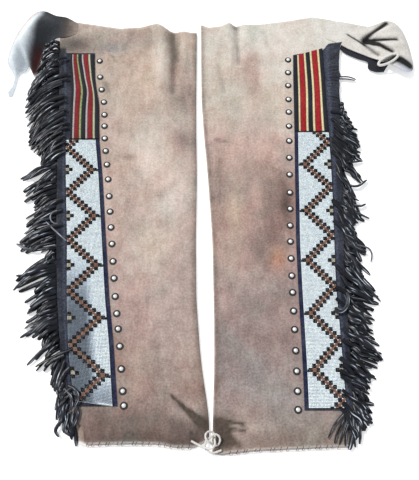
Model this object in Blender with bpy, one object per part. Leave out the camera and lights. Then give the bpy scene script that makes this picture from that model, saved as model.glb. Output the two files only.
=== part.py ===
# A pair of hide leggings with beaded side strips and fringe, laid flat on the ground.
# X runs across the pair, Y from the hems to the waist and Z up from the ground.
# Sizes and tables are in millimetres, with the origin on the ground under the middle.
# Each leg is one hide, folded at the inside of the leg and seamed at the outside.

import math

import bmesh
import bpy
import numpy as np

MM = 0.001

# Walls and clearances
WALL = 2.0
LEG_GAP = 2.5
SEAM = 0.3
BAND_WALL = 1.2
PANEL_WALL = 1.8
FOLD_RADIUS = WALL + LEG_GAP / 2
LEG_TOP = 2 * WALL + LEG_GAP
BAND_BASE = LEG_TOP + SEAM
PANEL_BASE = BAND_BASE + BAND_WALL + SEAM

# Navy edge that shows between the fold side of a panel and the end of its band
NAVY_EDGE = 7.5
RIBBON_INSET = 8.0
STUD_FROM_BAND = 11.0
STUD_RADIUS = 6.2
STUD_HEIGHT = 3.8
STUD_SIDES = 8
# Each ring of the dome as (share of the height, share of the radius)
STUD_RINGS = ((0.0, 1.0), (0.3, 1.0), (0.75, 0.66))

# Fringe: a strip caught in the outside seam, slit into strands
FRINGE_PITCH = 10.0
STRIP_INSIDE = 9.0
STRIP_OUTSIDE = 2.5
STRIP_WALL = LEG_GAP - 2 * SEAM
STRAND_WIDTH = 7.2
STRAND_WALL = 2.9
STRAND_SEED = 11
STRAND_STATIONS = (0.3, 0.66, 1.0)
STRAND_LENGTHS = (0.72, 1.04)
STRAND_DROPS = (44, 50)
UPPER_DROP = 0.75
UPPER_WIDTH = 1.12
UPPER_HEIGHTS = (8.0, 11.0, 7.5)
UPPER_LIFTS = (1.0, 4.0, 9.0)
LOWER_HEIGHTS = (3.0, 2.6, 2.3)
LOWER_LIFTS = (1.0, 7.0, 8.5)
RISE_SHARES = (0.0, 1.0, 1.0)
MOST_RISE = 3.0
TIP_WIDTH = 0.6
LIFT_EASE = 30.0

# Sections across each leg: the fold, the band's fold side, the panel's outer side, the seam
LEG_COLUMNS = ("y", "fold", "band", "panel", "seam")
LEFT_SECTIONS = (
    (450, -28, -257, -312, -332),
    (419, -28, -254, -310, -334),
    (348, -28, -251, -311, -327),
    (282, -28, -245, -303, -321),
    (230, -28, -233, -300, -316),
    (142, -27, -227, -295, -311),
    (50, -25, -214, -287, -304),
    (-84, -26, -199, -273, -293),
    (-205, -24, -185, -263, -280),
    (-300, -17, -171, -252, -266),
    (-336, -13, -167, -246, -259),
    (-394, -4, -160, -235, -245),
    (-430, 0, -155, -219, -229),
    (-464, -1, -152, -211, -218),
)
RIGHT_SECTIONS = (
    (450, -20, 184, 249, 288),
    (377, -19, 184, 248, 283),
    (295, -18, 180, 247, 277),
    (230, -17, 178, 246, 273),
    (142, -11, 175, 246, 269),
    (72, -5, 172, 245, 266),
    (-18, 1, 169, 242, 260),
    (-84, 5, 166, 239, 256),
    (-185, 7, 165, 235, 251),
    (-262, 8, 165, 236, 250),
    (-336, 8, 165, 236, 249),
    (-404, 6, 164, 236, 246),
    (-440, 5, 162, 235, 243),
    (-480, 4, 160, 233, 239),
)

# Waist and hem edges as cut, uneven like a hide's own edge
EDGE_COLUMNS = ("x", "y")
LEFT_WAIST = (
    (-334, 455), (-291, 447), (-245, 439), (-200, 431), (-155, 434), (-134, 441),
    (-119, 444), (-104, 435), (-88, 424), (-70, 418), (-28, 419),
)
RIGHT_WAIST = (
    (-20, 442), (-2, 434), (26, 438), (45, 444), (60, 438), (126, 444),
    (174, 452), (231, 464), (270, 456), (290, 450),
)
LEFT_HEM = (
    (-218, -459), (-208, -464), (-183, -463), (-128, -462), (-83, -463),
    (-60, -468), (-26, -468), (-1, -457),
)
RIGHT_HEM = (
    (4, -480), (19, -480), (36, -477), (79, -473), (150, -470), (197, -468), (240, -467),
)

# Soft ridges and troughs of the upper layer, each along a line with its half width
FOLD_COLUMNS = ("x1", "y1", "x2", "y2", "spread", "rise")
LEFT_FOLDS = (
    (-108, 440, -106, 280, 15, 4.2),
    (-83, 440, -80, 262, 8, -3.4),
    (-58, 440, -57, 300, 13, 5.0),
    (-52, 60, -64, -70, 38, 2.6),
    (-150, 250, -140, 150, 45, 2.2),
    (-112, -40, -100, -190, 34, 2.4),
    (-60, -372, -12, -418, 9, 3.4),
    (-66, -388, -8, -436, 7, -1.8),
    (-120, -330, -96, -400, 26, 2.0),
    (-40, -455, -22, -436, 8, 2.8),
)
RIGHT_FOLDS = (
    (42, 450, 46, 330, 11, 4.6),
    (58, 450, 62, 335, 7, -3.2),
    (80, 450, 84, 350, 13, 3.0),
    (112, 330, 96, 200, 34, 2.6),
    (10, 146, 34, 138, 7, 1.8),
    (70, 40, 88, -90, 40, 2.6),
    (58, -190, 70, -300, 34, 2.2),
    (20, -418, 52, -462, 7, 3.6),
    (32, -408, 62, -436, 6, -1.8),
    (20, -462, 44, -474, 6, 2.6),
    (120, -380, 100, -440, 24, 1.8),
)

# Columns of a leg's mesh, as shares of the way from the fold to the band
BEAD_ROWS = 14
RIBBON_ROWS = 6
BAND_EASE = 25.0
FOLD_EASE = 18.0
STUD_CLEAR = 3.0
THINNEST_GAP = 0.7
HIDE_SHARES = (0.0, 0.05, 0.1, 0.15, 0.2, 0.25, 0.3, 0.35, 0.42, 0.5, 0.6, 0.7, 0.8, 0.9, 1.0)
UNDER_SHARES = (0.0, 0.2, 0.45, 0.75, 1.0)
FOLD_STEPS = 5

# Heights of the parts of each band
LEFT_SPANS = {"band_low": -401, "bead_low": -397, "bead_high": 137, "ribbon_low": 141, "ribbon_high": 356}
RIGHT_SPANS = {"band_low": -408, "bead_low": -404, "bead_high": 155, "ribbon_low": 159, "ribbon_high": 351}
RIBBON_RISE = {"left": 0.0, "right": 22.0}
RIBBON_SLANT_FROM = 20.0
BAND_OVER_RIBBON = 5.0
BAND_FROM_SEAM = 1.0

# Stud places along each leg, as uneven as a maker's own spacing
LEFT_STUDS = (
    340, 297, 264, 232, 200, 172, 142, 112, 80, 46, 8, -26, -60, -95, -131,
    -165, -201, -234, -263, -295, -336, -375, -400,
)
RIGHT_STUDS = (
    343, 309, 275, 239, 207, 172, 136, 96, 57, 16, -20, -56, -90, -125, -160,
    -193, -229, -264, -303, -340, -375, -407,
)

# The strip's ends, where strands are cut all along, a stretch with a lone strand, and
# the y above which the strands pass over the belt tab's margin
LEFT_FRINGE = {"high": 396, "low": -414, "full_below": 400, "lone": (0, 0), "over_tab": 285}
RIGHT_FRINGE = {"high": 380, "low": -420, "full_below": 222, "lone": (296, 306), "over_tab": 400}

# How far out the strand tips reach, from the waist to the hem
REACH_COLUMNS = ("y", "x")
LEFT_REACH = (
    (400, -360), (345, -371), (285, -384), (240, -388), (190, -388), (120, -376),
    (60, -368), (-20, -368), (-100, -367), (-170, -358), (-230, -344), (-285, -336),
    (-325, -306), (-385, -276), (-425, -270), (-450, -246),
)
RIGHT_REACH = (
    (240, 283), (215, 292), (190, 306), (150, 312), (100, 314), (50, 318),
    (0, 314), (-70, 314), (-110, 304), (-170, 312), (-215, 320), (-255, 306),
    (-320, 311), (-370, 296), (-432, 285), (-455, 266),
)

# Left belt tab: rim and fold side of each station, with the height of rim, crown and fold side
TAB_COLUMNS = ("rim_x", "rim_y", "in_x", "in_y", "rim_z", "crown_z", "in_z")
LEFT_TAB = (
    (-294, 444, -294, 424, 6.8, 6.8, 6.8),
    (-301, 449, -300, 414, 6.8, 6.8, 6.8),
    (-322, 461, -318, 406, 6.8, 6.8, 6.8),
    (-346, 466, -341, 401, 6.8, 11, 6.0),
    (-371, 480, -357, 374, 5, 20, 2.5),
    (-392, 479, -366, 350, 3.5, 29, 2),
    (-411, 456, -371, 324, 3, 35, 2),
    (-426, 425, -376, 298, 2.5, 38, 2),
    (-436, 391, -383, 328, 2, 34, 3),
    (-442, 352, -396, 320, 1.5, 25, 3),
    (-438, 331, -399, 314, 1.2, 18, 2.5),
    (-427, 313, -409, 309, 1, 6, 1.5),
    (-421, 296, -414, 294, 0.8, 1, 0.8),
    (-423, 276, -416, 275, 0.8, 0.8, 0.8),
    (-430, 261, -419, 260, 0.8, 0.8, 0.8),
    (-427, 250, -421, 250, 0.8, 0.8, 0.8),
)
RIGHT_TAB = (
    (262, 455, 257, 402, 6.8, 6.8, 6.8),
    (285, 450, 281, 390, 6.8, 6.8, 6.8),
    (310, 445, 304, 373, 6.8, 8.5, 7.5),
    (334, 441, 329, 359, 4.5, 11, 8),
    (357, 438, 351, 347, 3.5, 13, 9),
    (377, 446, 367, 338, 3, 16, 12),
    (397, 454, 383, 328, 3, 19, 15),
    (416, 449, 398, 318, 2.5, 21, 17),
    (431, 427, 410, 309, 2, 20, 17),
    (440, 390, 424, 305, 1.5, 17, 15),
    (443, 352, 434, 309, 1.2, 12, 11),
    (443, 326, 441, 318, 1, 5, 5),
)
TAB_CROWN = 0.42
TAB_SHARES = (0.0, 0.1, 0.22, 0.34, 0.46, 0.58, 0.7, 0.82, 0.92, 1.0)
# Pleats of the right tab fan out from one point
PLEAT_COLUMNS = ("x1", "y1", "x2", "y2", "spread", "rise")
RIGHT_PLEATS = (
    (340, 397, 394, 450, 7, -4.5),
    (342, 397, 414, 400, 6, -4.0),
    (344, 394, 400, 366, 6, -4.0),
    (362, 408, 412, 430, 9, 3.5),
    (368, 386, 420, 380, 8, 3.0),
    (306, 417, 366, 352, 6, -2.5),
)

# Binding strap under the right tab: middle line, half width and top
STRAP_COLUMNS = ("x", "y", "half_x", "half_y", "top")
RIGHT_STRAP = (
    (290, 383, 3, 8, 6.2),
    (304, 369, 4, 8, 6.2),
    (328, 355, 3, 8, 6.8),
    (347, 346, 3, 8, 7.4),
    (352, 341, 8, 20, 7.4),
    (368, 331, 9, 20, 7.4),
)
STRAP_WALL = 2.4

# Thong loop on the strap, and the tie at the hems
THONG_RADIUS = 1.6
LOOP_CENTRE = (388, 342, 20.4)
LOOP_SIZE = (23, 8)
LOOP_TURN = math.radians(26)
LOOP_TILT = 0.12
LOOP_STEPS = 20
KNOT_CENTRE = (4, -458, 13.2)
KNOT_SIZE = 3.7
TIE_START = ((-34, -447), (-27, -452), (-20, -457), (-13, -460))
TIE_END = ((15, -470), (20, -473), (26, -475))
TIE_CLEARANCE = 0.6
TIE_STEPS = 44


def column(table, names, name):
    place = names.index(name)
    return np.array([row[place] for row in table], dtype=float)


def reading(table, names, key, name, value):
    """A table's column read at a value of its key column, in straight steps."""
    keys = column(table, names, key)
    found = column(table, names, name)
    order = np.argsort(keys)
    return np.interp(value, keys[order], found[order])


def smooth_step(value):
    share = np.clip(value, 0.0, 1.0)
    return share * share * (3 - 2 * share)


def material(name, colour, roughness, metallic=0.0):
    made = bpy.data.materials.new(name)
    made.use_nodes = True
    shader = made.node_tree.nodes["Principled BSDF"]
    shader.inputs["Base Color"].default_value = (*colour, 1.0)
    shader.inputs["Roughness"].default_value = roughness
    shader.inputs["Metallic"].default_value = metallic
    return made


def add_object(name, points, faces, finish, smooth_angle=40):
    mesh = bpy.data.meshes.new(name)
    mesh.from_pydata([tuple(np.array(p) * MM) for p in points], [], faces)
    work = bmesh.new()
    work.from_mesh(mesh)
    bmesh.ops.recalc_face_normals(work, faces=work.faces)
    work.to_mesh(mesh)
    work.free()
    mesh.materials.append(finish)
    mesh.shade_smooth()
    mesh.set_sharp_from_angle(angle=math.radians(smooth_angle))
    made = bpy.data.objects.new(name, mesh)
    bpy.context.scene.collection.objects.link(made)
    return made


def sheet_object(name, upper, lower, finish):
    """A closed wall between two grids of points that have the same rows and columns."""
    rows = len(upper)
    across = len(upper[0])
    points = [p for row in upper for p in row] + [p for row in lower for p in row]
    under = rows * across
    faces = []
    for r in range(rows - 1):
        for c in range(across - 1):
            a = r * across + c
            faces.append((a, a + 1, a + across + 1, a + across))
            faces.append((under + a, under + a + across, under + a + across + 1, under + a + 1))
    last = (rows - 1) * across
    for c in range(across - 1):
        faces.append((c, under + c, under + c + 1, c + 1))
        faces.append((last + c, last + c + 1, under + last + c + 1, under + last + c))
    for r in range(rows - 1):
        a = r * across
        b = a + across - 1
        faces.append((a, a + across, under + a + across, under + a))
        faces.append((b, under + b, under + b + across, b + across))
    return add_object(name, points, faces, finish)


def fold_height(table, names, x, y):
    """The rise of all ridges and troughs of a table at one point."""
    total = 0.0
    for row in table:
        fold = dict(zip(names, row))
        dx = fold["x2"] - fold["x1"]
        dy = fold["y2"] - fold["y1"]
        along = ((x - fold["x1"]) * dx + (y - fold["y1"]) * dy) / (dx * dx + dy * dy)
        along = min(max(along, 0.0), 1.0)
        away = math.hypot(x - fold["x1"] - along * dx, y - fold["y1"] - along * dy)
        total += fold["rise"] * math.exp(-(away / fold["spread"]) ** 2)
    return total


class Leg:
    """The sizes of one leg, read from its tables."""

    def __init__(self, name, side, sections, waist, hem, folds, spans):
        self.name = name
        self.side = side
        self.sections = sections
        self.waist = waist
        self.hem = hem
        self.folds = folds
        self.spans = spans

    def line(self, name, y):
        return float(reading(self.sections, LEG_COLUMNS, "y", name, y))

    def waist_at(self, x):
        return float(reading(self.waist, EDGE_COLUMNS, "x", "y", x))

    def hem_at(self, x):
        return float(reading(self.hem, EDGE_COLUMNS, "x", "y", x))

    def rows(self):
        """Rows as (y in the straight stretch, share of the way to the waist or hem edge)."""
        spans = self.spans
        beads = np.linspace(spans["bead_low"], spans["bead_high"], BEAD_ROWS)
        ribbons = np.linspace(spans["ribbon_low"], spans["ribbon_high"], RIBBON_ROWS)
        low = [(beads[0], -1.0), (beads[0], -0.75), (beads[0], -0.5), (beads[0], -0.25)]
        high = [(ribbons[-1], 0.33), (ribbons[-1], 0.66), (ribbons[-1], 1.0)]
        return low + [(y, 0.0) for y in beads] + [(y, 0.0) for y in ribbons] + high

    def row_y(self, row, x):
        y, share = row
        if share > 0:
            return y + share * (self.waist_at(x) - y)
        return y + share * (y - self.hem_at(x))

    def section_y(self, row):
        """The y whose section a row takes, before its edge curve is followed."""
        y, share = row
        middle = (self.line("fold", y) + self.line("seam", y)) / 2
        return self.row_y(row, middle)

    def top(self, x, y):
        """Height of the upper layer's face, flat under the band and at the fold."""
        from_band = self.side * (self.line("band", y) - x) - STUD_FROM_BAND - STUD_RADIUS - STUD_CLEAR
        from_fold = self.side * (x - self.line("fold", y)) - FOLD_RADIUS
        free = smooth_step(from_band / BAND_EASE) * smooth_step(from_fold / FOLD_EASE)
        rise = free * fold_height(self.folds, FOLD_COLUMNS, x, y)
        return LEG_TOP + max(rise, THINNEST_GAP - LEG_GAP)

    def column_places(self, y):
        base = self.line("fold", y) + self.side * FOLD_RADIUS
        band = self.line("band", y)
        inside = [base + share * (band - base) for share in HIDE_SHARES]
        return inside + [band + self.side * NAVY_EDGE, self.line("panel", y), self.line("seam", y)]


def hide(leg, finish):
    """One leg: a wall folded at the inside of the leg, with both free edges at the seam."""
    outer = []
    inner = []
    for row in leg.rows():
        y_here = leg.section_y(row)
        base = leg.line("fold", y_here) + leg.side * FOLD_RADIUS
        seam = leg.line("seam", y_here)
        outside = []
        inside = []
        for share in reversed(UNDER_SHARES):
            x = base + share * (seam - base)
            outside.append((x, leg.row_y(row, x), 0.0))
            inside.append((x, leg.row_y(row, x), WALL))
        for step in range(1, FOLD_STEPS):
            turn = math.pi * step / FOLD_STEPS
            for ring, radius in ((outside, FOLD_RADIUS), (inside, FOLD_RADIUS - WALL)):
                x = base - leg.side * radius * math.sin(turn)
                ring.append((x, leg.row_y(row, base), FOLD_RADIUS - radius * math.cos(turn)))
        for x in leg.column_places(y_here):
            y = leg.row_y(row, x)
            height = leg.top(x, y)
            outside.append((x, y, height))
            inside.append((x, y, height - WALL))
        outer.append(outside)
        inner.append(inside)
    return sheet_object("hide_" + leg.name, outer, inner, finish)


def flat_piece(name, rows, edges, base, wall, finish):
    """A flat strip on a leg. Edges gives the x of its two sides at a y."""
    upper = []
    lower = []
    for y, slant in rows:
        first, last = edges(y)
        upper.append([])
        lower.append([])
        for share in (0.0, 0.5, 1.0):
            x = first + share * (last - first)
            place = (x, y + share * slant)
            upper[-1].append((*place, base + wall))
            lower[-1].append((*place, base))
    return sheet_object(name, upper, lower, finish)


def band_pieces(leg, navy, beads, ribbon):
    """The navy band with the bead panel and the ribbon panel that lie on it."""
    spans = leg.spans
    rise = RIBBON_RISE[leg.name]
    bead_rows = [(y, 0.0) for y in np.linspace(spans["bead_low"], spans["bead_high"], BEAD_ROWS)]
    level_top = spans["ribbon_high"] - RIBBON_SLANT_FROM
    ribbon_rows = [(y, 0.0) for y in np.linspace(spans["ribbon_low"], level_top, RIBBON_ROWS)]
    ribbon_rows.append((spans["ribbon_high"], rise))
    band_rows = [(spans["band_low"], 0.0)] + bead_rows + ribbon_rows[:-1]
    band_rows.append((spans["ribbon_high"] + BAND_OVER_RIBBON, rise))

    def band_edges(y):
        return leg.line("band", y), leg.line("seam", y) - leg.side * BAND_FROM_SEAM

    def bead_edges(y):
        return leg.line("band", y) + leg.side * NAVY_EDGE, leg.line("panel", y)

    def ribbon_edges(y):
        inset = RIBBON_INSET if leg.name == "left" else 0.0
        return leg.line("band", y) + leg.side * SEAM, leg.line("panel", y) - leg.side * inset

    flat_piece("band_" + leg.name, band_rows, band_edges, BAND_BASE, BAND_WALL, navy)
    flat_piece("bead_panel_" + leg.name, bead_rows, bead_edges, PANEL_BASE, PANEL_WALL, beads)
    flat_piece("ribbon_panel_" + leg.name, ribbon_rows, ribbon_edges, PANEL_BASE, PANEL_WALL, ribbon)


def studs(leg, places, finish):
    """Domed studs down the edge of the band, each on the hide's face."""
    base = LEG_TOP + SEAM
    for number, y in enumerate(places, start=1):
        x = leg.line("band", y) - leg.side * STUD_FROM_BAND
        points = []
        for height, width in STUD_RINGS:
            for k in range(STUD_SIDES):
                turn = 2 * math.pi * k / STUD_SIDES
                reach = STUD_RADIUS * width
                points.append((x + reach * math.cos(turn), y + reach * math.sin(turn),
                               base + STUD_HEIGHT * height))
        points.append((x, y, base + STUD_HEIGHT))
        faces = [tuple(range(STUD_SIDES))]
        for ring in range(len(STUD_RINGS) - 1):
            for k in range(STUD_SIDES):
                a = ring * STUD_SIDES + k
                b = ring * STUD_SIDES + (k + 1) % STUD_SIDES
                faces.append((a, b, b + STUD_SIDES, a + STUD_SIDES))
        top = (len(STUD_RINGS) - 1) * STUD_SIDES
        for k in range(STUD_SIDES):
            faces.append((top + k, top + (k + 1) % STUD_SIDES, len(points) - 1))
        add_object(f"stud_{leg.name}_{number:02d}", points, faces, finish)


def strand_path(root, tip, heights):
    """Places along a strand that leaves the seam squarely and then sweeps down."""
    bend = (root[0] + 0.62 * (tip[0] - root[0]), root[1] + 0.25 * (tip[1] - root[1]))
    places = []
    for share, height in zip(STRAND_STATIONS, heights):
        x = (1 - share) ** 2 * root[0] + 2 * share * (1 - share) * bend[0] + share ** 2 * tip[0]
        y = (1 - share) ** 2 * root[1] + 2 * share * (1 - share) * bend[1] + share ** 2 * tip[1]
        places.append((x, y, height))
    return places


def has_strand(spans, y):
    low, high = spans["lone"]
    return y < spans["full_below"] or low < y < high


def fringe(leg, reach, spans, finish):
    """The strip in the outside seam and its strands, in a lower and an upper layer."""
    draw = np.random.default_rng(STRAND_SEED)
    steps = int(round((spans["high"] - spans["low"]) / FRINGE_PITCH))
    levels = np.linspace(spans["high"], spans["low"], steps + 1)
    base = WALL + SEAM
    points = []
    for y in levels:
        seam = leg.line("seam", y)
        inside = seam - leg.side * STRIP_INSIDE
        outside = seam + leg.side * STRIP_OUTSIDE
        points.append((inside, y, base + STRIP_WALL))
        points.append((outside, y, base + STRIP_WALL))
        points.append((outside, y, base))
        points.append((inside, y, base))
    faces = [(0, 1, 2, 3), tuple(4 * steps + k for k in (3, 2, 1, 0))]
    for k in range(steps):
        a = 4 * k
        b = a + 4
        faces += [(a, b, b + 1, a + 1), (a + 2, b + 2, b + 3, a + 3), (a + 3, b + 3, b, a)]
        middle = (levels[k] + levels[k + 1]) / 2
        if not has_strand(spans, middle):
            faces.append((a + 1, b + 1, b + 2, a + 2))
            continue
        upper = k % 2 == 0
        lift = smooth_step((middle - spans["over_tab"]) / LIFT_EASE)
        length = draw.uniform(*STRAND_LENGTHS)
        drop = draw.uniform(*STRAND_DROPS) * length * (UPPER_DROP if upper else 1.0)
        edge = leg.line("seam", middle) + leg.side * STRIP_OUTSIDE
        target = float(reading(reach, REACH_COLUMNS, "y", "x", middle - drop))
        tip = (edge + length * (target - edge), middle - drop)
        rise = draw.uniform(0, MOST_RISE) if upper else 0.0
        resting = UPPER_HEIGHTS if upper else LOWER_HEIGHTS
        lifts = UPPER_LIFTS if upper else LOWER_LIFTS
        heights = [z + share * rise + over * lift for z, share, over in zip(resting, RISE_SHARES, lifts)]
        width = STRAND_WIDTH * (UPPER_WIDTH if upper else 1.0)
        halves = (width / 2, width / 2 * draw.uniform(0.9, 1.15), width / 2 * TIP_WIDTH)
        last = (a + 1, b + 1, b + 2, a + 2)
        before = (edge, middle)
        for place, half in zip(strand_path((edge, middle), tip, heights), halves):
            run = np.array([place[0] - before[0], place[1] - before[1]])
            run = run / np.linalg.norm(run)
            across = np.array([-run[1], run[0]])
            across = across if across[1] > 0 else -across
            ring = len(points)
            for way, up in ((1, 1), (-1, 1), (-1, -1), (1, -1)):
                points.append((place[0] + way * half * across[0], place[1] + way * half * across[1],
                               place[2] + up * STRAND_WALL / 2))
            now = (ring, ring + 1, ring + 2, ring + 3)
            faces += [(last[m], last[(m + 1) % 4], now[(m + 1) % 4], now[m]) for m in range(4)]
            last = now
            before = place[:2]
        faces.append(last)
    add_object("fringe_" + leg.name, points, faces, finish)


def tab_height(station, share):
    """A tab's underside across one station: rim, crown and fold side in one soft curve."""
    if share < TAB_CROWN:
        return station["rim_z"] + (station["crown_z"] - station["rim_z"]) * smooth_step(share / TAB_CROWN)
    rest = (share - TAB_CROWN) / (1 - TAB_CROWN)
    return station["crown_z"] + (station["in_z"] - station["crown_z"]) * smooth_step(rest)


def belt_tab(name, table, pleats, finish):
    """A belt tab lofted through its stations, one wall thick."""
    lower = []
    upper = []
    for row in table:
        station = dict(zip(TAB_COLUMNS, row))
        lower.append([])
        upper.append([])
        for share in TAB_SHARES:
            x = station["rim_x"] + share * (station["in_x"] - station["rim_x"])
            y = station["rim_y"] + share * (station["in_y"] - station["rim_y"])
            height = float(tab_height(station, share))
            edge = smooth_step(share / 0.2) * smooth_step((1 - share) / 0.15)
            height += float(edge) * fold_height(pleats, PLEAT_COLUMNS, x, y)
            height = max(height, station["rim_z"])
            lower[-1].append((x, y, height))
            upper[-1].append((x, y, height + WALL))
    return sheet_object(name, upper, lower, finish)


def binding_strap(name, finish):
    """The dark strap that runs under the right tab's lower edge and ends in a broad flap."""
    upper = []
    lower = []
    for row in RIGHT_STRAP:
        station = dict(zip(STRAP_COLUMNS, row))
        upper.append([])
        lower.append([])
        for way in (1, 0, -1):
            place = (station["x"] + way * station["half_x"], station["y"] + way * station["half_y"])
            upper[-1].append((*place, station["top"]))
            lower[-1].append((*place, station["top"] - STRAP_WALL))
    return sheet_object(name, upper, lower, finish)


def ring_of_thong(name, finish):
    """A closed loop of thong, an upright oval laid on the strap."""
    path = []
    for k in range(LOOP_STEPS):
        turn = 2 * math.pi * k / LOOP_STEPS
        along = LOOP_SIZE[0] * math.cos(turn)
        over = LOOP_SIZE[1] * math.sin(turn)
        x = LOOP_CENTRE[0] + along * math.cos(LOOP_TURN) - over * math.sin(LOOP_TURN)
        y = LOOP_CENTRE[1] + along * math.sin(LOOP_TURN) + over * math.cos(LOOP_TURN)
        path.append((x, y, LOOP_CENTRE[2] + LOOP_TILT * along))
    return tube(name, path, THONG_RADIUS, True, finish)


def tube(name, path, radius, closed, finish):
    curve = bpy.data.curves.new(name, "CURVE")
    curve.dimensions = "3D"
    curve.bevel_depth = radius * MM
    curve.bevel_resolution = 2
    curve.use_fill_caps = not closed
    spline = curve.splines.new("POLY")
    spline.points.add(len(path) - 1)
    for point, place in zip(spline.points, path):
        point.co = (*(np.array(place) * MM), 1.0)
    spline.use_cyclic_u = closed
    curve.materials.append(finish)
    made = bpy.data.objects.new(name, curve)
    bpy.context.scene.collection.objects.link(made)
    return made


def knot_path(left, right):
    """A thong from the left hide, through an overhand knot, to its free end."""
    lift = THONG_RADIUS + TIE_CLEARANCE
    places = [(x, y, left.top(x, y) + lift) for x, y in TIE_START]
    first = math.radians(100)
    last = first + math.radians(318)
    for step in range(TIE_STEPS):
        turn = first + (last - first) * step / (TIE_STEPS - 1)
        spread = KNOT_SIZE * (2 + math.cos(3 * turn))
        places.append((
            KNOT_CENTRE[0] + spread * math.cos(2 * turn),
            KNOT_CENTRE[1] + 1.1 * spread * math.sin(2 * turn),
            KNOT_CENTRE[2] + KNOT_SIZE * math.sin(3 * turn),
        ))
    return places + [(x, y, right.top(x, y) + lift) for x, y in TIE_END]


def main():
    for old in list(bpy.data.objects):
        bpy.data.objects.remove(old, do_unlink=True)
    tan = material("tanned_hide", (0.46, 0.35, 0.27), 0.85)
    pale = material("pale_hide", (0.60, 0.57, 0.52), 0.8)
    navy = material("navy_cloth", (0.03, 0.035, 0.07), 0.9)
    beads = material("white_beads", (0.72, 0.75, 0.82), 0.35)
    ribbon = material("red_ribbon", (0.45, 0.08, 0.07), 0.6)
    black = material("dyed_leather", (0.02, 0.02, 0.03), 0.4)
    silver = material("stud_metal", (0.62, 0.61, 0.58), 0.3, 1.0)

    left = Leg("left", -1, LEFT_SECTIONS, LEFT_WAIST, LEFT_HEM, LEFT_FOLDS, LEFT_SPANS)
    right = Leg("right", 1, RIGHT_SECTIONS, RIGHT_WAIST, RIGHT_HEM, RIGHT_FOLDS, RIGHT_SPANS)
    for leg, places in ((left, LEFT_STUDS), (right, RIGHT_STUDS)):
        hide(leg, tan)
        band_pieces(leg, navy, beads, ribbon)
        studs(leg, places, silver)
    fringe(left, LEFT_REACH, LEFT_FRINGE, black)
    fringe(right, RIGHT_REACH, RIGHT_FRINGE, black)
    belt_tab("belt_tab_left", LEFT_TAB, (), pale)
    belt_tab("belt_tab_right", RIGHT_TAB, RIGHT_PLEATS, pale)
    binding_strap("binding_strap_right", navy)
    ring_of_thong("thong_loop_right", pale)
    tube("hem_tie", knot_path(left, right), THONG_RADIUS, False, pale)


main()
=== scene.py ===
# A pair of hide leggings laid flat: two hides, belt tabs, beadwork, ribbons, studs and fringe.
# Tables are in millimetres from the ground under the middle of the pair.
# X runs across the pair, Y from the hems to the waist and Z up from the ground.
import math

import bmesh
import bpy
import numpy as np
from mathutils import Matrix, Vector


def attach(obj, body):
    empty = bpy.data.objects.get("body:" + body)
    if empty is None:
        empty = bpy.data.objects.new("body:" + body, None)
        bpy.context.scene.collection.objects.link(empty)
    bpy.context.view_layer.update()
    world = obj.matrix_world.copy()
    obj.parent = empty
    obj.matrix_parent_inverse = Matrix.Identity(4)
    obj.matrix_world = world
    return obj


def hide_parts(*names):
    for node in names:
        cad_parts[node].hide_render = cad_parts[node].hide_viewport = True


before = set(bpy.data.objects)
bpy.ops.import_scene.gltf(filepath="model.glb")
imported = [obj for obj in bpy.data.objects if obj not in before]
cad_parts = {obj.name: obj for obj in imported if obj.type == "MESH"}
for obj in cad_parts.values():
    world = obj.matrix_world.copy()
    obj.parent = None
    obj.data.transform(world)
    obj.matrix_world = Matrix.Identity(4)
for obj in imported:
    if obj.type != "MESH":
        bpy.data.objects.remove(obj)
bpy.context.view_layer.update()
mm = 0.001
print("frame loaded")


# Colours are written as they look under the studio light, in 0 to 255
def paint(red, green, blue, share=0.8):
    shown = np.array([red, green, blue]) / 255
    linear = np.where(shown <= 0.04045, shown / 12.92, ((shown + 0.055) / 1.055) ** 2.4)
    return tuple(float(value) * share for value in linear)


def opaque(colour):
    return (*colour, 1.0)


# Shader building: a Wire is a socket that can be used in sums
class Wire:
    def __init__(self, finish, socket):
        self.finish = finish
        self.socket = socket

    def __add__(self, other):
        return self.finish.maths("ADD", self, other)

    def __sub__(self, other):
        return self.finish.maths("SUBTRACT", self, other)

    def __rsub__(self, other):
        return self.finish.maths("SUBTRACT", other, self)

    def __mul__(self, other):
        return self.finish.maths("MULTIPLY", self, other)

    __radd__ = __add__
    __rmul__ = __mul__


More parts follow.
